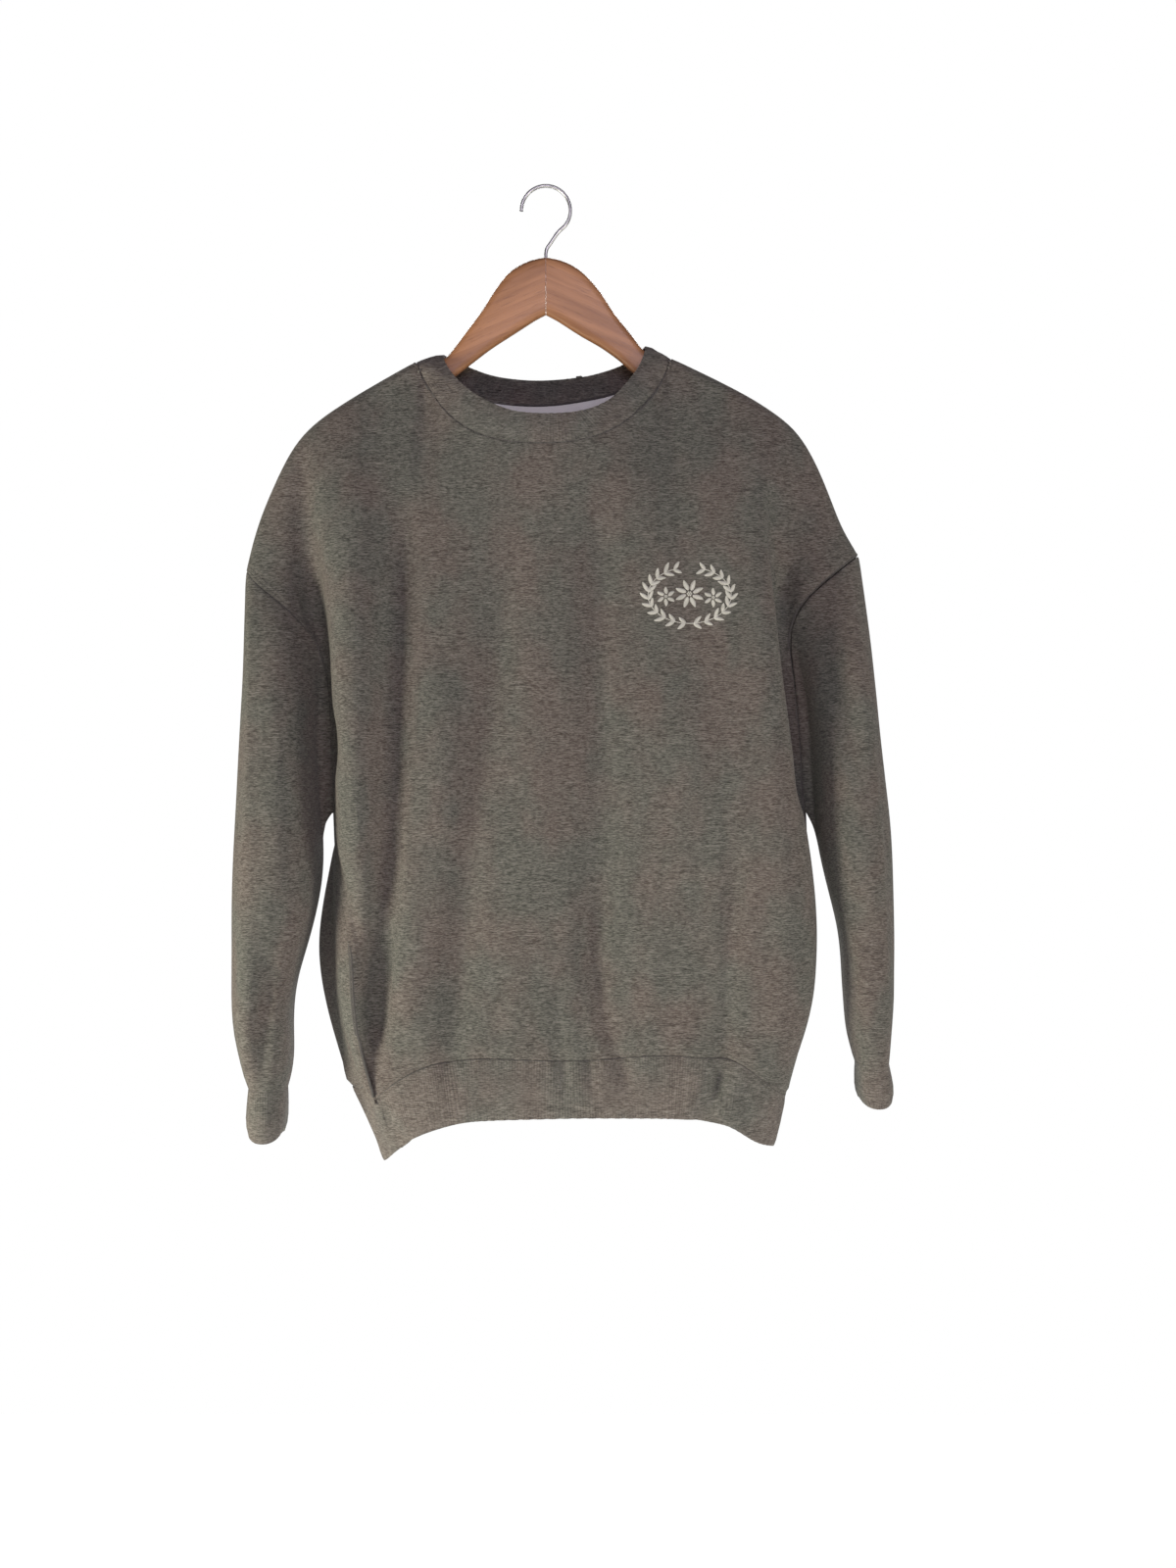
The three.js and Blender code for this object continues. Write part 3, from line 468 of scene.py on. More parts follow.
def rounded(piece, levels):
    """Smooths a piece with a subdivision surface, and applies it."""
    surface = piece.modifiers.new("rounded", "SUBSURF")
    surface.levels = levels
    surface.render_levels = levels
    surface.use_limit_surface = False
    return settle(piece)


test_face = outer_face("front_panel", Vector((0, 0, height(400))))
print("squares on the front's outer face:", len(test_face.faces))
test_face.free()

# %% [markdown]
# Hanging fleece folds softly. The largest folds are in the model's walls already. What is
# added here is given one row for each crease: where it runs, how wide and how
# deep it is, and whether it sinks (a trough) or stands (a ridge). No two are alike, because
# even spacing is what makes modelled cloth look wrong.

# %% Creases
FRONT_CREASES = [
    # points of its path as (millimetres across, drop), half its width, rise: + ridge or - trough
    ([(-215, 150), (-213, 230), (-207, 300), (-199, 380), (-194, 470)], 12, -8.5),
    ([(-172, 232), (-170, 360), (-166, 470), (-168, 560)], 18, 3.6),
    ([(-129, 190), (-130, 300), (-134, 416), (-133, 493), (-138, 570), (-147, 650), (-157, 724),
      (-150, 776)], 17, -7.0),
    ([(-133, 490), (-138, 570), (-146, 640), (-152, 704)], 12, -7.0),
    ([(-94, 350), (-91, 440), (-90, 520)], 20, 3.4),
    ([(-29, 205), (-32, 270), (-42, 350), (-57, 440), (-64, 510), (-72, 600), (-82, 706),
      (-84, 750)], 16, -5.4),
    ([(-14, 300), (-10, 400), (-6, 500), (-8, 600)], 20, 2.8),
    ([(48, 180), (46, 260), (44, 350), (52, 470), (47, 560), (42, 620), (54, 676)], 17, -5.0),
    ([(46, 540), (41, 620), (50, 668), (68, 716), (78, 740)], 10, -4.4),
    ([(11, 620), (13, 680), (16, 716), (18, 740)], 8, -3.4),
    ([(28, 640), (32, 684), (39, 716), (44, 736)], 7, -2.8),
    ([(118, 370), (128, 450), (124, 560)], 30, 4.0),
    ([(143, 615), (139, 660), (137, 705)], 12, -1.6),
    ([(166, 500), (160, 604), (156, 700), (146, 750)], 13, -6.4),
    ([(196, 560), (190, 640), (184, 708)], 14, -2.6),
    ([(199, 176), (203, 245), (209, 300), (217, 370), (227, 440), (232, 500)], 10, -10.0),
    ([(184, 250), (192, 340), (200, 430), (204, 500)], 15, 2.2),
    ([(-96, 96), (-60, 128), (-18, 146)], 12, -1.0),
    ([(92, 92), (64, 126), (26, 146)], 12, -1.0),
    ([(-140, 100), (-152, 160), (-158, 220)], 16, -1.6),
    ([(150, 104), (162, 160), (168, 214)], 16, -1.5),
    ([(-190, 400), (-178, 446), (-160, 470)], 10, -1.8),
    ([(-186, 560), (-170, 600), (-166, 656)], 12, -1.9),
    ([(-112, 560), (-110, 620), (-118, 690)], 12, 2.0),
    ([(-20, 600), (-26, 650), (-24, 712)], 13, 1.8),
    ([(96, 590), (94, 640), (90, 712)], 14, 1.7),
    ([(-6, 520), (2, 560), (-2, 610)], 12, -1.3),
    ([(80, 268), (84, 312), (82, 352)], 15, -1.0),
]
BACK_CREASES = [
    # points of its path, half its width, rise
    ([(-182, 260), (-176, 350), (-178, 450), (-176, 530)], 15, -4.1),
    ([(-130, 220), (-124, 330), (-118, 450), (-124, 560), (-132, 690)], 19, -4.3),
    ([(-84, 420), (-80, 500), (-86, 590)], 15, 2.6),
    ([(-44, 130), (-40, 240), (-46, 380), (-40, 520), (-48, 660)], 18, -3.5),
    ([(4, 300), (8, 400), (2, 500)], 17, 2.5),
    ([(52, 180), (58, 320), (50, 460), (60, 600), (56, 705)], 18, -4.2),
    ([(104, 470), (100, 560), (106, 650)], 15, 2.5),
    ([(138, 240), (146, 350), (142, 470), (150, 600), (146, 700)], 17, -3.8),
    ([(190, 280), (198, 380), (204, 480), (200, 560)], 15, -3.5),
    ([(-70, 96), (-20, 120), (40, 118), (88, 94)], 14, -1.6),
    ([(-150, 96), (-160, 160), (-166, 220)], 15, -2.0),
    ([(156, 100), (170, 160), (174, 216)], 15, -2.0),
    ([(-150, 600), (-146, 650), (-152, 706)], 12, 2.0),
    ([(20, 620), (16, 670), (22, 714)], 13, -2.3),
    ([(176, 600), (172, 660), (176, 706)], 12, 1.9),
]
# the shares of a crease's length over which it starts and ends, and how fast it falls off sideways
FADE_IN = 0.26
FADE_OUT = 0.11
FALL_OFF = 1.4


def line_distance(points, path):
    """How far points are from a path, and how far along it the nearest place is, from 0 to 1."""
    path = np.array(path, float)
    steps = np.diff(path, axis=0)
    lengths = np.linalg.norm(steps, axis=1)
    before = np.concatenate([[0], np.cumsum(lengths)])
    nearest = np.full(len(points), 1e9)
    along = np.zeros(len(points))
    for start, step, length, travelled in zip(path, steps, lengths, before):
        t = np.clip((points - start) @ step / length**2, 0, 1)
        gap = np.linalg.norm(points - start - t[:, None] * step, axis=1)
        closer = gap < nearest
        nearest[closer] = gap[closer]
        along[closer] = (travelled + t * length)[closer] / before[-1]
    return nearest, along


def crease_rise(points, creases):
    """The height of all creases at points, in millimetres. A crease fades at both ends."""
    total = np.zeros(len(points))
    for path, half, rise in creases:
        gap, along = line_distance(points, path)
        across = np.exp(-((gap / half) ** 2) * FALL_OFF)
        ends = smooth(along / FADE_IN) * smooth((1 - along) / FADE_OUT)
        total += rise * across * ends
    return total


def corners(piece):
    """The vertices of a piece as an array of places and one of normals."""
    count = len(piece.data.vertices)
    places = np.zeros(count * 3)
    normals = np.zeros(count * 3)
    piece.data.vertices.foreach_get("co", places)
    piece.data.vertices.foreach_get("normal", normals)
    return places.reshape(-1, 3), normals.reshape(-1, 3)


def push(piece, rise):
    """Moves each vertex along its normal by a rise in millimetres."""
    places, normals = corners(piece)
    piece.data.vertices.foreach_set("co", (places + normals * rise[:, None] * MM).ravel())
    piece.data.update()


def flat_places(places):
    """Places as (millimetres across, drop)."""
    return np.stack([places[:, 0] / MM, -places[:, 2] / MM - HANGER_DROP], axis=1)


def unevenness(places, size, depth):
    """The slight lumps of a heavy knit, in millimetres."""
    return np.array([noise.noise(Vector(place) / size) for place in places]) * depth


def side_share(normals, side):
    """1 where the cloth looks to a side, front (-1) or back (+1), and 0 where it looks away."""
    return smooth(normals[:, 1] * side * 1.6 + 0.1)


print("creases:", len(FRONT_CREASES), "in front and", len(BACK_CREASES), "behind")

# %% [markdown]
# Where two pieces are sewn together the cloth dips to the seam, and a turned edge is rounded.
# Both are the same move: each vertex near an edge of the piece sinks a little. A search tree
# of the edge's points gives every vertex its distance from the edge.

# %% Seams dip
ARMHOLE_TOPS = (280, 267)
ARMHOLE_END = 494
NECK_END = 190
NECK_HALF = 92
HEM_START = 690


def as_bmesh(piece):
    mesh = bmesh.new()
    mesh.from_mesh(piece.data)
    return mesh


def edge_loops(piece):
    """The open edges of a piece as lists of points in order, longest first."""
    mesh = as_bmesh(piece)
    waiting = {edge for edge in mesh.edges if len(edge.link_faces) == 1}
    loops = []
    while waiting:
        edge = min(waiting, key=lambda item: item.index)
        waiting.remove(edge)
        loop = [edge.verts[0], edge.verts[1]]
        while True:
            onward = [e for e in loop[-1].link_edges if e in waiting]
            if not onward:
                break
            waiting.remove(onward[0])
            loop.append(onward[0].other_vert(loop[-1]))
        loops.append([vertex.co.copy() for vertex in loop])
    mesh.free()
    return sorted(loops, key=len, reverse=True)


def points_distance(places, points):
    """How far places are from the nearest of some points, in millimetres."""
    tree = KDTree(len(points))
    for index, point in enumerate(points):
        tree.insert(point, index)
    tree.balance()
    return np.array([tree.find(place)[2] for place in places]) / MM


def edge_distance(piece, loops):
    """How far each vertex is from some edge loops, in millimetres."""
    return points_distance(corners(piece)[0], [point for loop in loops for point in loop])


def drop_of(point):
    return -point.z / MM - HANGER_DROP


def is_armhole(point):
    top = ARMHOLE_TOPS[0] if point.x < 0 else ARMHOLE_TOPS[1]
    return top < drop_of(point) < ARMHOLE_END


def is_neck(point):
    return drop_of(point) < NECK_END and abs(point.x / MM) < NECK_HALF


def is_hem(point):
    return drop_of(point) > HEM_START


def dip(distance, reach, depth):
    """How far cloth sinks close to an edge, in millimetres."""
    return -depth * np.exp(-((distance / reach) ** 2))


print("edge helpers ready")

# %% [markdown]
# A knit runs along the cloth, so the fine stitches need a map of the cloth itself. Blender can
# unfold a sheet flat, which is just what a cutter's pattern is. A tube is cut open first, down
# the seam that a real sleeve has. The map is scaled to metres, and turned so that it stands
# upright, and its size is the size of the cut.


# %% The flat cut
def mark_seam(piece, cut_from):
    """Marks the seam of a tube: it starts at the edge near a place, and goes down as it can."""
    mesh = as_bmesh(piece)
    edge_verts = (v for v in mesh.verts if v.is_boundary)
    spot = min(edge_verts, key=lambda v: (v.co - cut_from).length)
    passed = {spot}
    while True:
        onward = [e for e in spot.link_edges if e.other_vert(spot) not in passed and not e.is_boundary]
        if not onward:
            break
        step = min(onward, key=lambda e: (e.other_vert(spot).co - spot.co).normalized().z)
        step.seam = True
        spot = step.other_vert(spot)
        passed.add(spot)
        if spot.is_boundary:
            break
    mesh.to_mesh(piece.data)
    mesh.free()


def unfold(piece, cut_from=None):
    """Gives a piece a UV map that is its flat cut in metres, and returns the cut's size."""
    if cut_from is not None:
        mark_seam(piece, cut_from)
    piece.data.uv_layers.new(name="cut")
    bpy.context.view_layer.objects.active = piece
    bpy.ops.object.mode_set(mode="EDIT")
    bpy.ops.mesh.select_all(action="SELECT")
    bpy.ops.uv.unwrap(method="MINIMUM_STRETCH", margin=0)
    bpy.ops.object.mode_set(mode="OBJECT")
    return upright_map(piece)


def upright_map(piece):
    """Scales a piece's UV map to metres, and turns it so that its height is the cloth's."""
    layer = piece.data.uv_layers.active.data
    flat = np.zeros(len(layer) * 2)
    layer.foreach_get("uv", flat)
    flat = flat.reshape(-1, 2)
    loops = np.zeros(len(layer), int)
    piece.data.loops.foreach_get("vertex_index", loops)
    places, _ = corners(piece)
    heights = places[loops, 2]
    area = sum(polygon.area for polygon in piece.data.polygons)
    spread = 0.0
    for polygon in piece.data.polygons:
        ring = flat[list(polygon.loop_indices)]
        after = np.roll(ring, -1, axis=0)
        spread += abs((ring[:, 0] * after[:, 1] - ring[:, 1] * after[:, 0]).sum()) / 2
    flat = (flat - flat.mean(0)) * math.sqrt(area / spread)
    up, *_ = np.linalg.lstsq(flat, heights - heights.mean(), rcond=None)
    up /= np.linalg.norm(up)
    turned = np.stack([flat @ np.array([up[1], -up[0]]), flat @ up], axis=1)
    layer.foreach_set("uv", turned.ravel())
    size = turned.max(0) - turned.min(0)
    return size, area


print("pattern helper ready")

# %% [markdown]
# The two body panels are made first. Each is smoothed twice, then pressed: the creases, a
# little unevenness, and the dip along all its seams. Above the hem, where wide cloth is sewn to a
# narrower band, it also puffs out and puckers. Its wall, as thick as the fleece and with the
# brushed back as its inner finish, is grown later, with the other walls.

# %% Front and back panels
FLEECE_THICK = 2.0
SEAM_REACH = 4.0
SEAM_DIP = 0.25
CALM_REACH = 14
LUMP = 0.075
LUMP_DEPTH = 1.1
PUCKER_WIDE = 0.013
PUCKER_HIGH = 0.07
PUCKER_DEPTH = 2.2
PUCKER_REACH = 22
SWELL_WIDE = 0.05
PUFF_HEIGHT = 9
PUFF_RISE = 2.3
HEM_DIP = 1.1
HEM_REACH = 3


def add_wall(piece, thickness, inside):
    """Grows a wall inwards from an outer face. The second material is its inner side."""
    piece.data.materials.append(inside)
    wall = piece.modifiers.new("wall", "SOLIDIFY")
    wall.thickness = thickness * MM
    wall.offset = -1
    wall.use_even_offset = False
    wall.material_offset = 1
    wall.material_offset_rim = 0
    return piece


def gathers(places, away):
    """How a wide cloth puffs and puckers, in millimetres, close above a narrow band."""
    narrow = [Vector((x / PUCKER_WIDE, y / PUCKER_WIDE, z / PUCKER_HIGH)) for x, y, z in places]
    wide = [Vector((x / SWELL_WIDE, y / SWELL_WIDE, 0.3)) for x, y, z in places]
    pucker = np.array([noise.noise(spot) for spot in narrow])
    swell = 0.6 + np.array([noise.noise(spot) for spot in wide])
    puff = swell * PUFF_RISE * np.exp(-((away / PUFF_HEIGHT - 1) ** 2) * 1.2)
    return (pucker * PUCKER_DEPTH * np.exp(-away / PUCKER_REACH) + puff) * smooth(away / 4)


def print_cut(node, size, area):
    print(node, "cut", [round(float(x), 3) for x in size], "m, area", round(area, 4), "m2")


def body_panel(node, creases):
    """The outer face of a body panel, unfolded, smoothed and creased."""
    middle = Vector((0, 0, height(400)))
    panel = new_object(node + "_cloth", outer_face(node, middle), FLEECE)
    size, area = unfold(panel)
    rounded(panel, 2)
    places, _ = corners(panel)
    loops = edge_loops(panel)
    rise = crease_rise(flat_places(places), creases)
    rise += unevenness(places, LUMP, LUMP_DEPTH)
    hem = [point for point in loops[0] if is_hem(point)]
    other_seams = [point for point in loops[0] if not is_hem(point)]
    rise *= smooth(points_distance(places, other_seams) / CALM_REACH)
    rise += gathers(places, points_distance(places, hem))
    rise += dip(edge_distance(panel, loops), SEAM_REACH, SEAM_DIP)
    rise += dip(points_distance(places, hem), HEM_REACH, HEM_DIP)
    push(panel, rise)
    print_cut(node, size, area)
    return panel


def finish_cloth(piece, node):
    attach(piece, "root")
    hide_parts(node)


front = body_panel("front_panel", FRONT_CREASES)
back = body_panel("back_panel", BACK_CREASES)

# %% [markdown]
# The sleeves hang from dropped shoulders and are nearly flat, with a fold down the front and
# another down the back, and a few slanting creases where the elbow has been. Their creases are
# given with a third number, the side that they are on: front or back.

# %% Sleeves
RIGHT_SLEEVE_CREASES = [
    # points of its path, half its width, rise, and its side: -1 is the front, +1 the back
    ([(-262, 560), (-258, 640), (-259, 740)], 9, 3.1, -1),
    ([(-247, 380), (-250, 470), (-246, 560)], 12, -2.5, -1),
    ([(-232, 300), (-238, 360), (-236, 430)], 12, 2.1, -1),
    ([(-226, 470), (-238, 500), (-252, 512)], 9, -2.7, -1),
    ([(-222, 560), (-236, 590), (-252, 600)], 9, -2.4, -1),
    ([(-238, 640), (-248, 668), (-262, 676)], 8, -2.2, -1),
    ([(-243, 690), (-250, 720), (-262, 732)], 7, -2.4, -1),
    ([(-240, 600), (-241, 650), (-246, 700)], 8, -2.2, -1),
    ([(-232, 300), (-240, 400), (-238, 520)], 14, -3.1, 1),
    ([(-256, 420), (-254, 540), (-256, 660)], 10, 2.7, 1),
    ([(-226, 520), (-240, 552), (-256, 560)], 9, -2.5, 1),
    ([(-236, 640), (-250, 668), (-262, 680)], 8, -2.2, 1),
]
LEFT_SLEEVE_CREASES = [
    # the same
    ([(283, 380), (296, 470), (303, 560), (305, 660)], 9, -3.1, -1),
    ([(262, 330), (276, 400), (284, 470)], 12, 2.2, -1),
    ([(244, 350), (258, 400), (266, 460)], 11, -2.5, -1),
    ([(252, 470), (268, 500), (286, 508)], 9, -2.5, -1),
    ([(262, 560), (276, 588), (294, 596)], 9, -2.7, -1),
    ([(272, 610), (280, 650), (284, 700)], 8, 2.1, -1),
    ([(276, 662), (290, 684), (304, 688)], 7, -2.1, -1),
    ([(258, 300), (272, 400), (282, 520)], 14, -3.1, 1),
    ([(282, 420), (294, 540), (298, 660)], 10, 2.5, 1),
    ([(256, 520), (272, 550), (292, 560)], 9, -2.4, 1),
    ([(274, 640), (286, 664), (302, 672)], 8, -2.2, 1),
]


def sleeve(node, creases, underarm):
    """The outer face of a sleeve, unfolded from its underarm seam, smoothed and creased."""
    piece = new_object(node + "_cloth", outer_face(node), FLEECE)
    size, area = unfold(piece, underarm)
    rounded(piece, 2)
    places, normals = corners(piece)
    loops = edge_loops(piece)
    rise = unevenness(places, LUMP, LUMP_DEPTH)
    for path, half, depth, side in creases:
        rise += crease_rise(flat_places(places), [(path, half, depth)]) * side_share(normals, side)
    away = edge_distance(piece, loops)
    rise *= smooth(away / CALM_REACH)
    rise += dip(away, SEAM_REACH, SEAM_DIP)
    push(piece, rise)
    print_cut(node, size, area)
    return piece


sleeve_right = sleeve("sleeve_right", RIGHT_SLEEVE_CREASES, Vector((-0.205, 0, height(500))))
sleeve_left = sleeve("sleeve_left", LEFT_SLEEVE_CREASES, Vector((0.232, 0, height(500))))

# %% [markdown]
# The neckband, the hem band and the cuffs are rib knit: one rib up, one down, which is why
# they stretch. Each band is cut into narrow strips of one width and waved, so the ribs are real
# form. The strips run from edge to edge of the band. Each vertex is told how many ribs round the
# edge it is, which also becomes the band's UV map, so the finish and the form agree. The body's
# creases run on into the hem band.

# %% Rib bands
RIB_THICK = 2.4
RIB_RISE = 0.16
STRIPS_PER_RIB = 6
BAND_REACH = 3.0
BAND_DIP = 0.8
FOLD_REACH = 2.6
FOLD_DIP = 0.9
BAND_LUMP = 0.03
BAND_LUMP_DEPTH = 0.5
HEM_CREASES = [
    # points of its path, half its width, rise
    ([(-150, 740), (-138, 764), (-122, 784)], 9, -3.4),
    ([(-178, 722), (-174, 752), (-170, 786)], 9, 2.2),
    ([(126, 768), (142, 750), (152, 716)], 8, -4.2),
    ([(178, 716), (176, 744), (180, 772)], 10, -2.4),
]


def loop_length(loop):
    return sum((b - a).length for a, b in zip(loop, loop[1:]))


def round_the_seam(places, loop, pitch):
    """How many ribs round a seam each place is, by the nearest point of the seam."""
    line = np.array(loop)
    steps = np.diff(line, axis=0)
    lengths = np.linalg.norm(steps, axis=1)
    before = np.concatenate([[0], np.cumsum(lengths)])
    ribs = round(before[-1] / pitch)
    nearest = np.full(len(places), 1e9)
    count = np.zeros(len(places))
    for start, step, length, travelled in zip(line, steps, lengths, before):
        t = np.clip((places - start) @ step / length**2, 0, 1)
        gap = np.linalg.norm(places - start - t[:, None] * step, axis=1)
        closer = gap < nearest
        nearest[closer] = gap[closer]
        count[closer] = (travelled + t * length)[closer] / before[-1] * ribs
    return count, nearest, ribs


def columns_by_cuts(mesh, around, width):
    """The edges that run round a band, by how many cuts give strips of a width."""
    waiting = set(around)
    columns = {}
    for start in mesh.edges:
        if start not in waiting:
            continue
        waiting.remove(start)
        column = [start]
        for edge in column:
            for face in edge.link_faces:
                for other in face.edges:
                    if other in waiting and not set(other.verts) & set(edge.verts):
                        waiting.remove(other)
                        column.append(other)
        mean = sum(edge.calc_length() for edge in column) / len(column)
        columns.setdefault(max(1, round(mean / width) - 1), []).extend(column)
    return columns


def cut_in_strips(piece, seam):
    """Cuts a band into strips that run across it, a few to each rib."""
    whole = loop_length(seam)
    places, _ = corners(piece)
    share, _, ribs = round_the_seam(places, seam, RIB_PITCH)
    travelled = share / ribs * whole
    mesh = as_bmesh(piece)
    around = set()
    for edge in mesh.edges:
        step = abs(travelled[edge.verts[0].index] - travelled[edge.verts[1].index])
        if min(step, whole - step) > 0.5 * edge.calc_length():
            around.add(edge)
    width = RIB_PITCH / STRIPS_PER_RIB
    for cuts, column in columns_by_cuts(mesh, around, width).items():
        bmesh.ops.subdivide_edges(mesh, edges=column, cuts=cuts, use_grid_fill=True)
    mesh.to_mesh(piece.data)
    mesh.free()
    shade_smooth(piece)


def rib_map(piece, count, away, ribs):
    """A UV map that counts the ribs in one way, and is the distance from the edge in the other."""
    layer = piece.data.uv_layers.new(name="ribs")
    loops_of = np.zeros(len(layer.data), int)
    piece.data.loops.foreach_get("vertex_index", loops_of)
    across = count[loops_of]
    for polygon in piece.data.polygons:
        span = list(polygon.loop_indices)
        if across[span].max() - across[span].min() > ribs / 2:
            across[span] = np.where(across[span] < ribs / 2, across[span] + ribs, across[span])
    pairs = np.stack([across, away[loops_of]], axis=1)
    layer.data.foreach_set("uv", pairs.ravel())


def rib_band(node, near, sides):
    """A ribbed band. Its ribs are counted round the edge that is nearer to a place."""
    piece = new_object(node + "_cloth", outer_face(node), RIB)
    rounded(piece, 1)
    loops = edge_loops(piece)
    edge = min(loops[:2], key=lambda loop: sum((p - near).length for p in loop) / len(loop))
    other_edge = next(loop for loop in loops[:2] if loop is not edge)
    cut_in_strips(piece, edge)
    places, normals = corners(piece)
    count, away, ribs = round_the_seam(places, edge, RIB_PITCH)
    edges = edge_distance(piece, [edge])
    folds = edge_distance(piece, [other_edge])
    wave = np.cos(2 * math.pi * count) * RIB_RISE * smooth(edges / 3) * smooth(folds / 2 + 0.3)
    rise = wave + dip(edges, BAND_REACH, BAND_DIP) + dip(folds, FOLD_REACH, FOLD_DIP)
    rise += unevenness(places, BAND_LUMP, BAND_LUMP_DEPTH)
    for side, creases in sides.items():
        rise += crease_rise(flat_places(places), creases) * side_share(normals, side)
    push(piece, rise)
    rib_map(piece, count, away, ribs)
    print(node, ribs, "ribs,", round(loop_length(edge), 3), "m round,", len(places), "corners")
    return piece


neckband = rib_band("neckband", Vector((0, 0, height(120))), {})
hem_sides = {-1: FRONT_CREASES + HEM_CREASES, 1: BACK_CREASES}
hem_band = rib_band("hem_band", Vector((0.02, 0, height(600))), hem_sides)
cuff_right = rib_band("cuff_right", Vector((-0.25, 0, height(600))), {})
cuff_left = rib_band("cuff_left", Vector((0.29, 0, height(600))), {})

# %% [markdown]
# A wall grows on every piece, with the thickness and the inner finish of its slot. Each piece
# is hung from the root, and the model piece that it stands for is hidden.

# %% Walls
HANGER = ["hanger_arm_right", "hanger_arm_left"]
PANELS = ["front_panel", "back_panel"]
WALLS = {"fleece": (FLEECE_THICK, BRUSHED), "rib": (RIB_THICK, RIB)}
SHEETS = [
    # piece, node, slot, flat width and length, flat area, what it rests on
    (front, "front_panel", "fleece", (0.56, 0.70), 0.291, HANGER),
    (back, "back_panel", "fleece", (0.56, 0.73), 0.306, HANGER),
    (sleeve_right, "sleeve_right", "fleece", (0.33, 0.56), 0.109, PANELS),
    (sleeve_left, "sleeve_left", "fleece", (0.33, 0.52), 0.098, PANELS),
    (neckband, "neckband", "rib", (0.52, 0.025), 0.0127, PANELS),
    (hem_band, "hem_band", "rib", (0.89, 0.0505), 0.0447, PANELS),
    (cuff_right, "cuff_right", "rib", (0.17, 0.047), 0.0072, ["sleeve_right"]),
    (cuff_left, "cuff_left", "rib", (0.17, 0.042), 0.0066, ["sleeve_left"]),
]
for piece, node, slot_name, flat, area, rests_on in SHEETS:
    add_wall(piece, *WALLS[slot_name])
    finish_cloth(piece, node)
print("sheets declared:", len(SHEETS))

# %% [markdown]
# Sewing thread is two or three plies twisted together, so it has a slant along it and a slight
# shine. The seams use a thread close to the cloth's own grey. The chest motif uses a thick
# off-white rayon, which shines more, so its gloss is set higher.


# %% Thread finishes
def thread_finish(name, dark, light, roughness, sheen):
    finish = Finish(name, Roughness=roughness, Sheen_Weight=sheen)
    finish.shader.inputs["Specular IOR Level"].default_value = 0.3
    where = finish.place()
    twist = finish.node(
        "ShaderNodeTexWave", {"bands_direction": "DIAGONAL"},
        {"Vector": where, "Scale": 900.0, "Distortion": 1.5, "Detail": 1.0}, output=1,
    )
    shade = finish.cloud(where, 0.004)
    # the colour is darker in the grooves of the twist, which is painted shade, and it also varies at
    # random
    finish.feed("Base Color", finish.blend((twist * 0.6 + shade * 0.5).between(0.2, 0.9), dark, light))
    finish.relief(twist, 0.00012)
    return finish.material


THREAD = thread_finish("seam_thread", (0.050, 0.046, 0.045, 1), (0.135, 0.126, 0.120, 1), 0.8, 0.1)
MOTIF_THREAD = thread_finish("motif_thread", (0.46, 0.448, 0.415, 1), (0.78, 0.765, 0.72, 1), 0.5, 0.2)
print("threads:", THREAD.name, MOTIF_THREAD.name)

# %% [markdown]
# Inside a sweatshirt the edges of two pieces are overlocked together, and the raised edge fills
# the seam. A thin tube just below the surface does that here: it closes the hair's breadth
# between the pieces, so that no light comes through, and shows as an overlocked edge within. At
# the neck and the hem the band's edge has a tube too, because the cloth leans apart there.

# %% Overlocked seams
SEAM_TUBE = 1.3
SEAM_DEPTH = 1.5
SEAM_STEP = 4


def search_tree(piece):
    mesh = as_bmesh(piece)
    tree = BVHTree.FromBMesh(mesh)
    mesh.free()
    return tree


def evenly(line, pitch):
    """Points and directions along a closed line of points, a pitch apart."""
    line = [Vector(p) for p in line]
    if (line[0] - line[-1]).length > 1e-6:
        line.append(line[0])
    total = loop_length(line)
    count = max(2, round(total / pitch))
    found = []
    travelled = 0.0
    step = 0
    for a, b in zip(line, line[1:]):
        length = (b - a).length
        while step < count and step * total / count <= travelled + length:
            share = (step * total / count - travelled) / max(length, 1e-9)
            found.append((a.lerp(b, share), (b - a).normalized()))
            step += 1
        travelled += length
    return found


def tube(name, points, radius, material):
    """A round, closed tube along points, as a mesh."""
    line = bpy.data.curves.new(name, "CURVE")
    line.dimensions = "3D"
    line.bevel_depth = radius
    line.bevel_resolution = 2
    spline = line.splines.new("POLY")
    spline.points.add(len(points) - 1)
    for place, point in zip(spline.points, points):
        place.co = (*point, 1)
    spline.use_cyclic_u = True
    holder = bpy.data.objects.new(name + "_line", line)
    bpy.context.scene.collection.objects.link(holder)
    graph = bpy.context.evaluated_depsgraph_get()
    data = bpy.data.meshes.new_from_object(holder.evaluated_get(graph))
    bpy.data.objects.remove(holder)
    return new_object(name, data, material)


def seam_tube(name, loop, tree):
    """An overlocked edge along one edge loop of a piece, whose search tree is given."""
    points = []
    for point, _ in evenly(loop, SEAM_STEP * MM):
        _, normal, _, _ = tree.find_nearest(point)
        points.append(point - normal * SEAM_DEPTH * MM)
    made = tube(name, points, SEAM_TUBE * MM, THREAD)
    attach(made, "root")


front_tree = search_tree(front)
back_tree = search_tree(back)
front_loop = edge_loops(front)[0]
back_loop = edge_loops(back)[0]


def ring_edge(piece, choose):
    """The lower (min) or the upper (max) edge of a tube or ring of cloth."""
    return choose(edge_loops(piece)[:2], key=lambda loop: sum(p.z for p in loop) / len(loop))


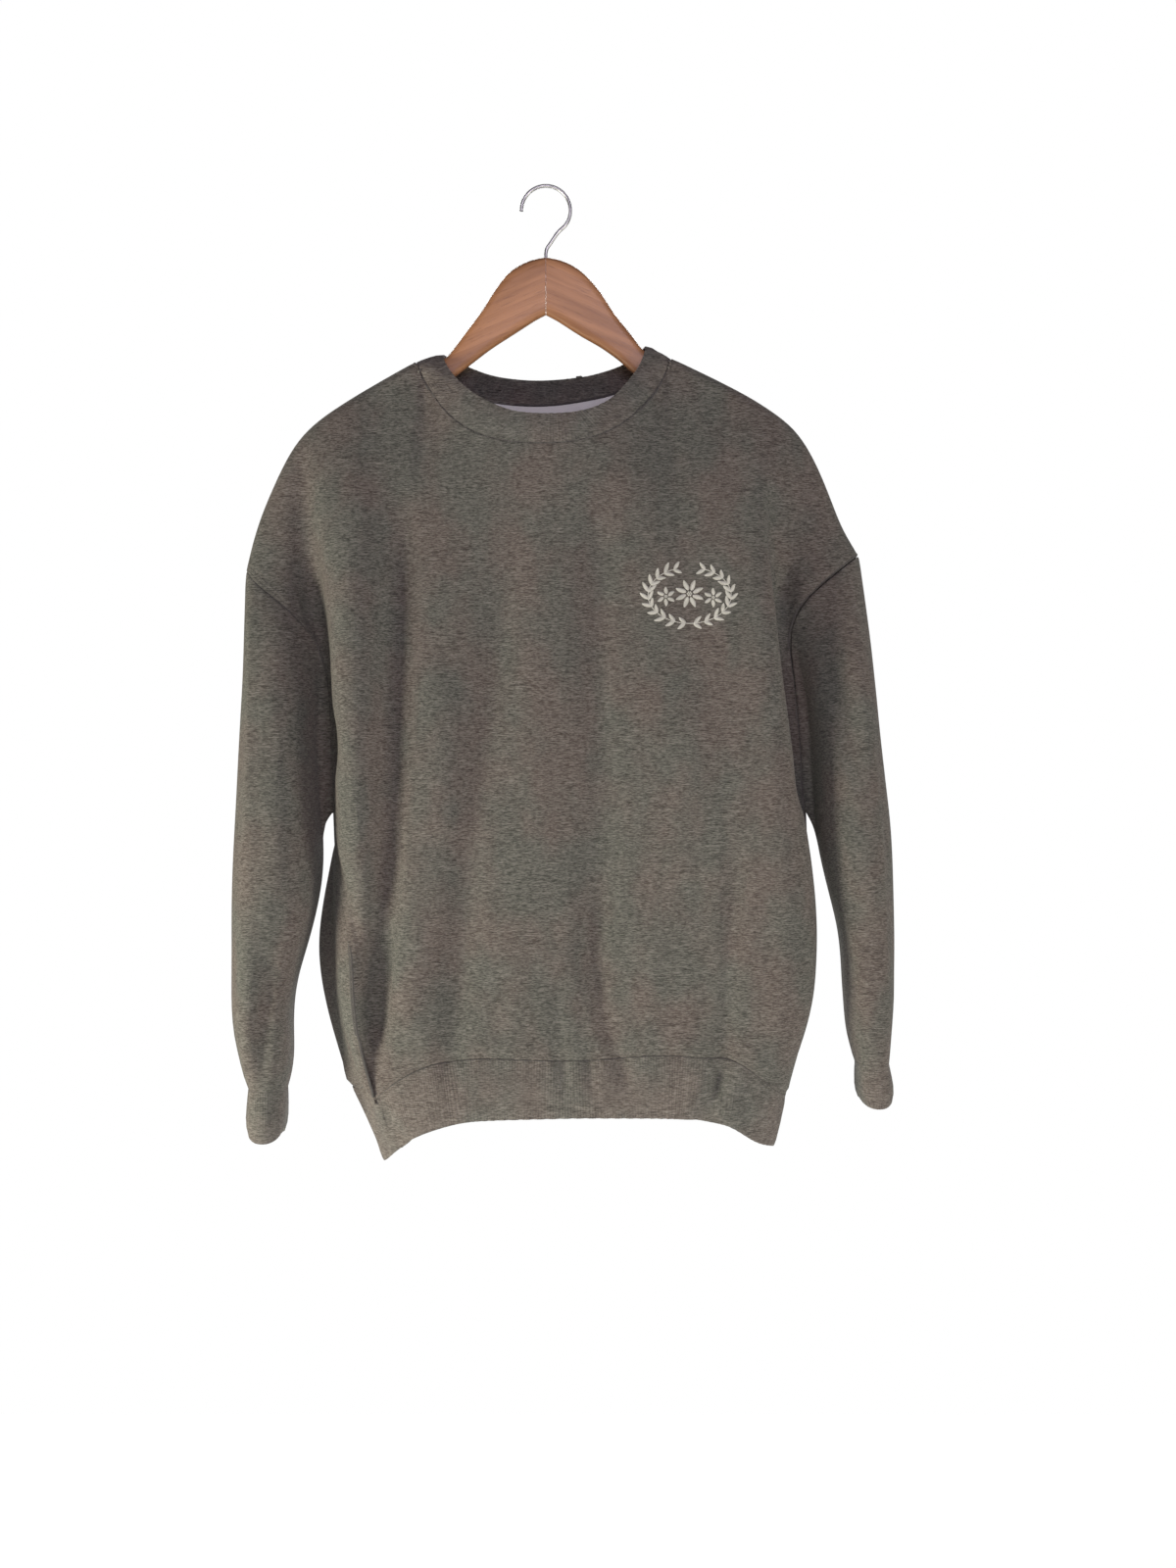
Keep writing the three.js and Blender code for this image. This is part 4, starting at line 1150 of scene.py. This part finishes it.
seam_tube("front_seams", front_loop, front_tree)
seam_tube("back_seams", back_loop, back_tree)
seam_tube("cuff_seam_right", ring_edge(sleeve_right, min), search_tree(sleeve_right))
seam_tube("cuff_seam_left", ring_edge(sleeve_left, min), search_tree(sleeve_left))
seam_tube("neck_seam", ring_edge(neckband, min), search_tree(neckband))
seam_tube("hem_seam", ring_edge(hem_band, max), search_tree(hem_band))
print("front seams:", round(loop_length(front_loop), 2), "m")

# %% [markdown]
# Stitches are what make a seam look sewn. The armholes have two rows beside the seam, and the
# neck and the hem one. Each stitch is one small bead of thread, pressed into the cloth, and all
# the stitches of a row are joined into one mesh.

# %% Topstitching
STITCH_PITCH = 3.1 * MM
STITCH_LENGTH = 2.5 * MM
STITCH_WIDTH = 0.55 * MM
STITCH_LIFT = 0.05
ARMHOLE_ROWS = (2.0, 5.6)
NECK_ROW = 4.2
HEM_ROW = 3.2


def bead(centre, along, normal, length, width, rise):
    """Where one bead of thread goes: long along one way, and flat on the cloth."""
    along = (along - normal * along.dot(normal)).normalized()
    side = normal.cross(along)
    turn = Matrix((along, side, normal)).transposed().to_4x4()
    return Matrix.Translation(centre) @ turn @ Matrix.Diagonal((length / 2, width / 2, rise / 2, 1))


def beaded(name, beads, material):
    """One mesh that has a small round bead at each of many places."""
    pattern = bmesh.new()
    bmesh.ops.create_uvsphere(pattern, u_segments=6, v_segments=4, radius=1)
    shape = np.array([vertex.co for vertex in pattern.verts])
    sides = [[vertex.index for vertex in face.verts] for face in pattern.faces]
    pattern.free()
    turns = np.array(beads)
    places = np.einsum("nij,kj->nki", turns[:, :3, :3], shape) + turns[:, None, :3, 3]
    starts = [row * len(shape) for row in range(len(beads))]
    faces = [[index + start for index in side] for start in starts for side in sides]
    data = bpy.data.meshes.new(name)
    data.from_pydata(places.reshape(-1, 3).tolist(), [], faces)
    made = new_object(name, data, material)
    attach(made, "root")
    print(name, "beads", len(beads), "faces", len(faces))


def stitch_row(loop, tree, inset, chosen):
    """A row of stitches, inset millimetres in from an edge loop, where chosen(point) holds."""
    row = []
    for point, along in evenly(loop, STITCH_PITCH):
        if not chosen(point):
            continue
        _, normal, _, _ = tree.find_nearest(point)
        sideways = normal.cross(along).normalized() * inset * MM
        tries = [tree.find_nearest(point + sideways), tree.find_nearest(point - sideways)]
        place, facing, _, _ = max(tries, key=lambda found: (found[0] - point).length)
        centre = place + facing * STITCH_LIFT * MM
        row.append(bead(centre, along, facing, STITCH_LENGTH, STITCH_WIDTH, STITCH_WIDTH))
    return row


stitches = []
for loop, tree in ((front_loop, front_tree), (back_loop, back_tree)):
    for inset in ARMHOLE_ROWS:
        stitches += stitch_row(loop, tree, inset, is_armhole)
    stitches += stitch_row(loop, tree, NECK_ROW, is_neck)
    stitches += stitch_row(loop, tree, HEM_ROW, is_hem)
beaded("topstitching", stitches, THREAD)

# %% [markdown]
# The wearer's left chest carries a small off-white motif. It is plain botanical embroidery: an
# open wreath of two leafy branches round three flowers. Each leaf and petal is satin stitch, which
# is one thread laid beside the next, and the heart of each flower is a ring of knots. The whole is
# drawn in its own millimetres, and then each thread is dropped onto the cloth from the front.

# %% Chest motif
MOTIF_AT = (125.5, 303.5)
WREATH_WIDE = 36.0
WREATH_HIGH = 24.5
BRANCH_LEAVES = 11
BRANCH_STITCHES = 52
# where a branch and its leaves start, and how far they go round, in degrees
BRANCH_START, BRANCH_SWEEP = -97, 165
LEAVES_START, LEAVES_SWEEP = -84, 152
LEAF_SIZES = (8.2, 10.0)
LEAF_WIDE = 4.2
INNER_LEAF_WIDE = 3.9
HEART_KNOTS = 6
FLOWERS = [
    # across, up, petals, how far out they start, their length and width
    (0, 1.5, 8, 3.3, 9.4, 4.9),
    (20.5, -2.0, 6, 2.2, 6.2, 4.0),
    (-20.5, -1.0, 6, 2.2, 6.2, 4.0),
]
THREAD_WIDE = 0.66
THREAD_SPACING = 0.5
LEAF_TURN = math.radians(40)
LEAF_SLANT = math.radians(24)


def on_cloth(across, up):
    """The place on the front panel at a spot of the motif, and the way the cloth faces there."""
    start = Vector(((MOTIF_AT[0] + across) * MM, -0.3, height(MOTIF_AT[1] - up)))
    place, normal, _, _ = front_tree.ray_cast(start, Vector((0, 1, 0)))
    return place, normal


def satin_leaf(across, up, turn, length, width):
    """A leaf of satin stitch from its root outwards: threads across it, widest before the middle."""
    threads = []
    direction = (math.cos(turn), math.sin(turn))
    count = round(length / THREAD_SPACING)
    for step in range(count):
        share = (step + 0.5) / count
        half = width / 2 * math.sin(math.pi * share**0.8) ** 0.75
        spot = (across + direction[0] * share * length, up + direction[1] * share * length)
        place, normal = on_cloth(*spot)
        slant = turn + math.pi / 2 - LEAF_SLANT
        along = Vector((math.cos(slant), 0, math.sin(slant)))
        wide = (2 * half + 0.5) * MM
        threads.append(bead(place + normal * 0.1 * MM, along, normal, wide, THREAD_WIDE * MM, 0.9 * MM))
    return threads


def knot(across, up, size):
    place, normal = on_cloth(across, up)
    across_cloth = Vector((1, 0, 0))
    return bead(place + normal * 0.15 * MM, across_cloth, normal, size * MM, size * MM, size * 0.8 * MM)


def stem_stitches(spots):
    threads = []
    for (x0, z0), (x1, z1) in zip(spots, spots[1:]):
        place, normal = on_cloth((x0 + x1) / 2, (z0 + z1) / 2)
        along = Vector((x1 - x0, 0, z1 - z0)) * MM
        long = along.length + 0.7 * MM
        threads.append(bead(place + normal * 0.05 * MM, along, normal, long, 0.8 * MM, 0.7 * MM))
    return threads


def on_wreath(hand, turn):
    """A spot of the wreath, which is an oval. The hand is 1 or -1, for its two branches."""
    return hand * WREATH_WIDE * math.cos(turn), WREATH_HIGH * math.sin(turn)


random.seed(7)
motif = []
for hand in (1, -1):
    steps = range(BRANCH_STITCHES + 1)
    turns = [math.radians(BRANCH_START + BRANCH_SWEEP * step / BRANCH_STITCHES) for step in steps]
    motif += stem_stitches([on_wreath(hand, turn) for turn in turns])
    for leaf in range(BRANCH_LEAVES):
        t = math.radians(LEAVES_START + LEAVES_SWEEP * leaf / (BRANCH_LEAVES - 1))
        x, z = on_wreath(hand, t)
        onward = math.atan2(WREATH_HIGH * math.cos(t), -hand * WREATH_WIDE * math.sin(t))
        long = random.uniform(*LEAF_SIZES)
        motif += satin_leaf(x, z, onward + LEAF_TURN, long, LEAF_WIDE)
        motif += satin_leaf(x, z, onward - LEAF_TURN, long * 0.9, INNER_LEAF_WIDE)
for across, up, petals, near, long, wide in FLOWERS:
    for petal in range(petals):
        turn = 2 * math.pi * (petal + 0.5) / petals
        root = (across + near * math.cos(turn), up + near * math.sin(turn))
        motif += satin_leaf(*root, turn, long, wide)
    for spot in range(HEART_KNOTS + 1):
        turn = 2 * math.pi * spot / HEART_KNOTS
        away = near * 0.5 if spot else 0
        motif.append(knot(across + away * math.cos(turn), up + away * math.sin(turn), near * 0.5))
beaded("chest_motif", motif, MOTIF_THREAD)

# %% [markdown]
# The neck tape is woven twill, which shows as fine slanting lines, and it hides the back neck
# seam. It starts from the model's own solid, rounded a little so that its edges are soft, and lies
# a little further forward, in front of the overlocked edge.

# %% Neck tape
TWILL = 1.1 * MM
TWILL_TURN = math.radians(38)
TAPE_WHITES = ((0.88, 0.875, 0.86, 1), (0.97, 0.97, 0.965, 1))
CRISP = 0.9


def tape_finish():
    finish = Finish("twill_tape", Roughness=0.8, Sheen_Weight=0.15)
    where = finish.place(turn=(0, TWILL_TURN, 0))
    twill = finish.split(where, 0) / TWILL
    wear = finish.cloud(finish.place(), 0.006)
    lines = twill.wave()
    # the colour is paler on the twill's ridges and darker between them, which is painted shade, and it
    # also varies at random
    shade = lines * 0.5 + wear * 0.5
    finish.feed("Base Color", finish.blend(shade.between(0.1, 0.9), *TAPE_WHITES))
    finish.relief(lines, 0.00018)
    return finish.material


def soft_copy(node, name, material, sharp):
    """A merged, rounded copy of a whole solid. Edges sharper than sharp degrees stay crisp."""
    mesh = squares(node)
    crease = mesh.edges.layers.float.new("crease_edge")
    for edge in mesh.edges:
        edge[crease] = CRISP if edge.calc_face_angle(0) > math.radians(sharp) else 0
    piece = new_object(name, mesh, material)
    rounded(piece, 1)
    shade_smooth(piece)
    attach(piece, "root")
    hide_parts(node)
    return piece


TAPE = tape_finish()
TAPE_FORWARD = Matrix.Translation((0, -2.9 * MM, 1.6 * MM))
tape = soft_copy("neck_tape", "neck_tape_cloth", TAPE, sharp=50)
tape.data.transform(TAPE_FORWARD)
tape_low, tape_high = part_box("neck_tape")
print("tape length:", round((tape_high - tape_low).x, 3), "m")

# %% [markdown]
# The hanger is two halves of a flat board, joined in the middle, so the grain leans one way on
# the right half and the other way on the left. Beech that has been stained and varnished is a
# warm orange brown: broad slow bands, fine dark pores along the grain, and a clear coat.

# %% Hanger
GRAIN_LEAN = math.radians(24)
DARK_WOOD = (0.275, 0.118, 0.050, 1)
PALE_WOOD = (0.440, 0.205, 0.098, 1)
RING_WOOD = (0.235, 0.095, 0.040, 1)
PORE_WOOD = (0.150, 0.058, 0.026, 1)


def wood_finish(name, lean):
    finish = Finish(name, Roughness=0.5, Coat_Weight=0.18, Coat_Roughness=0.25)
    grain = finish.place(turn=(0, lean, 0))
    drawn = finish.node("ShaderNodeMapping", None, {"Vector": grain, "Scale": (0.07, 1, 1)})
    bands = finish.cloud(drawn, 0.011, detail=3, roughness=0.55)
    pores = finish.cloud(drawn, 0.0011, detail=2, roughness=0.6)
    rings = finish.node(
        "ShaderNodeTexWave", {"wave_profile": "SAW", "bands_direction": "Z"},
        {"Vector": drawn, "Scale": 34.0, "Distortion": 5.0, "Detail": 2.0, "Detail Scale": 1.2}, output=1,
    )
    colour = finish.blend(bands.between(0.32, 0.68), DARK_WOOD, PALE_WOOD)
    colour = finish.blend(rings * 0.35, colour, RING_WOOD)
    colour = finish.blend((1 - pores).between(0.56, 0.74) * 0.45, colour, PORE_WOOD)
    finish.feed("Base Color", colour)
    finish.feed("Roughness", pores * 0.16 + 0.40)
    finish.relief(pores * 0.7 + bands * 0.3, 0.0002)
    return finish.material


for side, lean in (("right", GRAIN_LEAN), ("left", -GRAIN_LEAN)):
    wood = wood_finish("varnished_wood_" + side, lean)
    half = soft_copy("hanger_arm_" + side, "hanger_half_" + side, wood, sharp=40)
    print("hanger half", side, len(half.data.polygons), "faces")

# %% [markdown]
# The hook is bright steel wire, drawn through a die, with a few duller places where it has
# rubbed on rails.

# %% Hook
DULL_STEEL = (0.44, 0.44, 0.45, 1)
BRIGHT_STEEL = (0.60, 0.60, 0.61, 1)


def steel_finish():
    finish = Finish("bright_wire", Metallic=1.0, Roughness=0.25)
    rubbed = finish.cloud(finish.place(), 0.012, detail=1)
    finish.feed("Base Color", finish.blend(rubbed.between(0.3, 0.7), DULL_STEEL, BRIGHT_STEEL))
    finish.feed("Roughness", rubbed * 0.14 + 0.30)
    return finish.material


hook = soft_copy("hanger_hook", "hanger_hook_wire", steel_finish(), sharp=50)
print("hook faces:", len(hook.data.polygons))

# %% [markdown]
# The floor is plain, pale and matt. It still gets a faint mottling, as plaster or paper has.

# %% Floor finish
paper = Finish("pale_floor", Roughness=0.9)
mottle = paper.cloud(paper.place(), 0.4, detail=3)
paper.feed("Base Color", paper.blend(mottle, (0.93, 0.93, 0.93, 1), (0.96, 0.96, 0.955, 1)))
floor_data.materials.append(paper.material)
print("floor at", FLOOR_HEIGHT, "m")
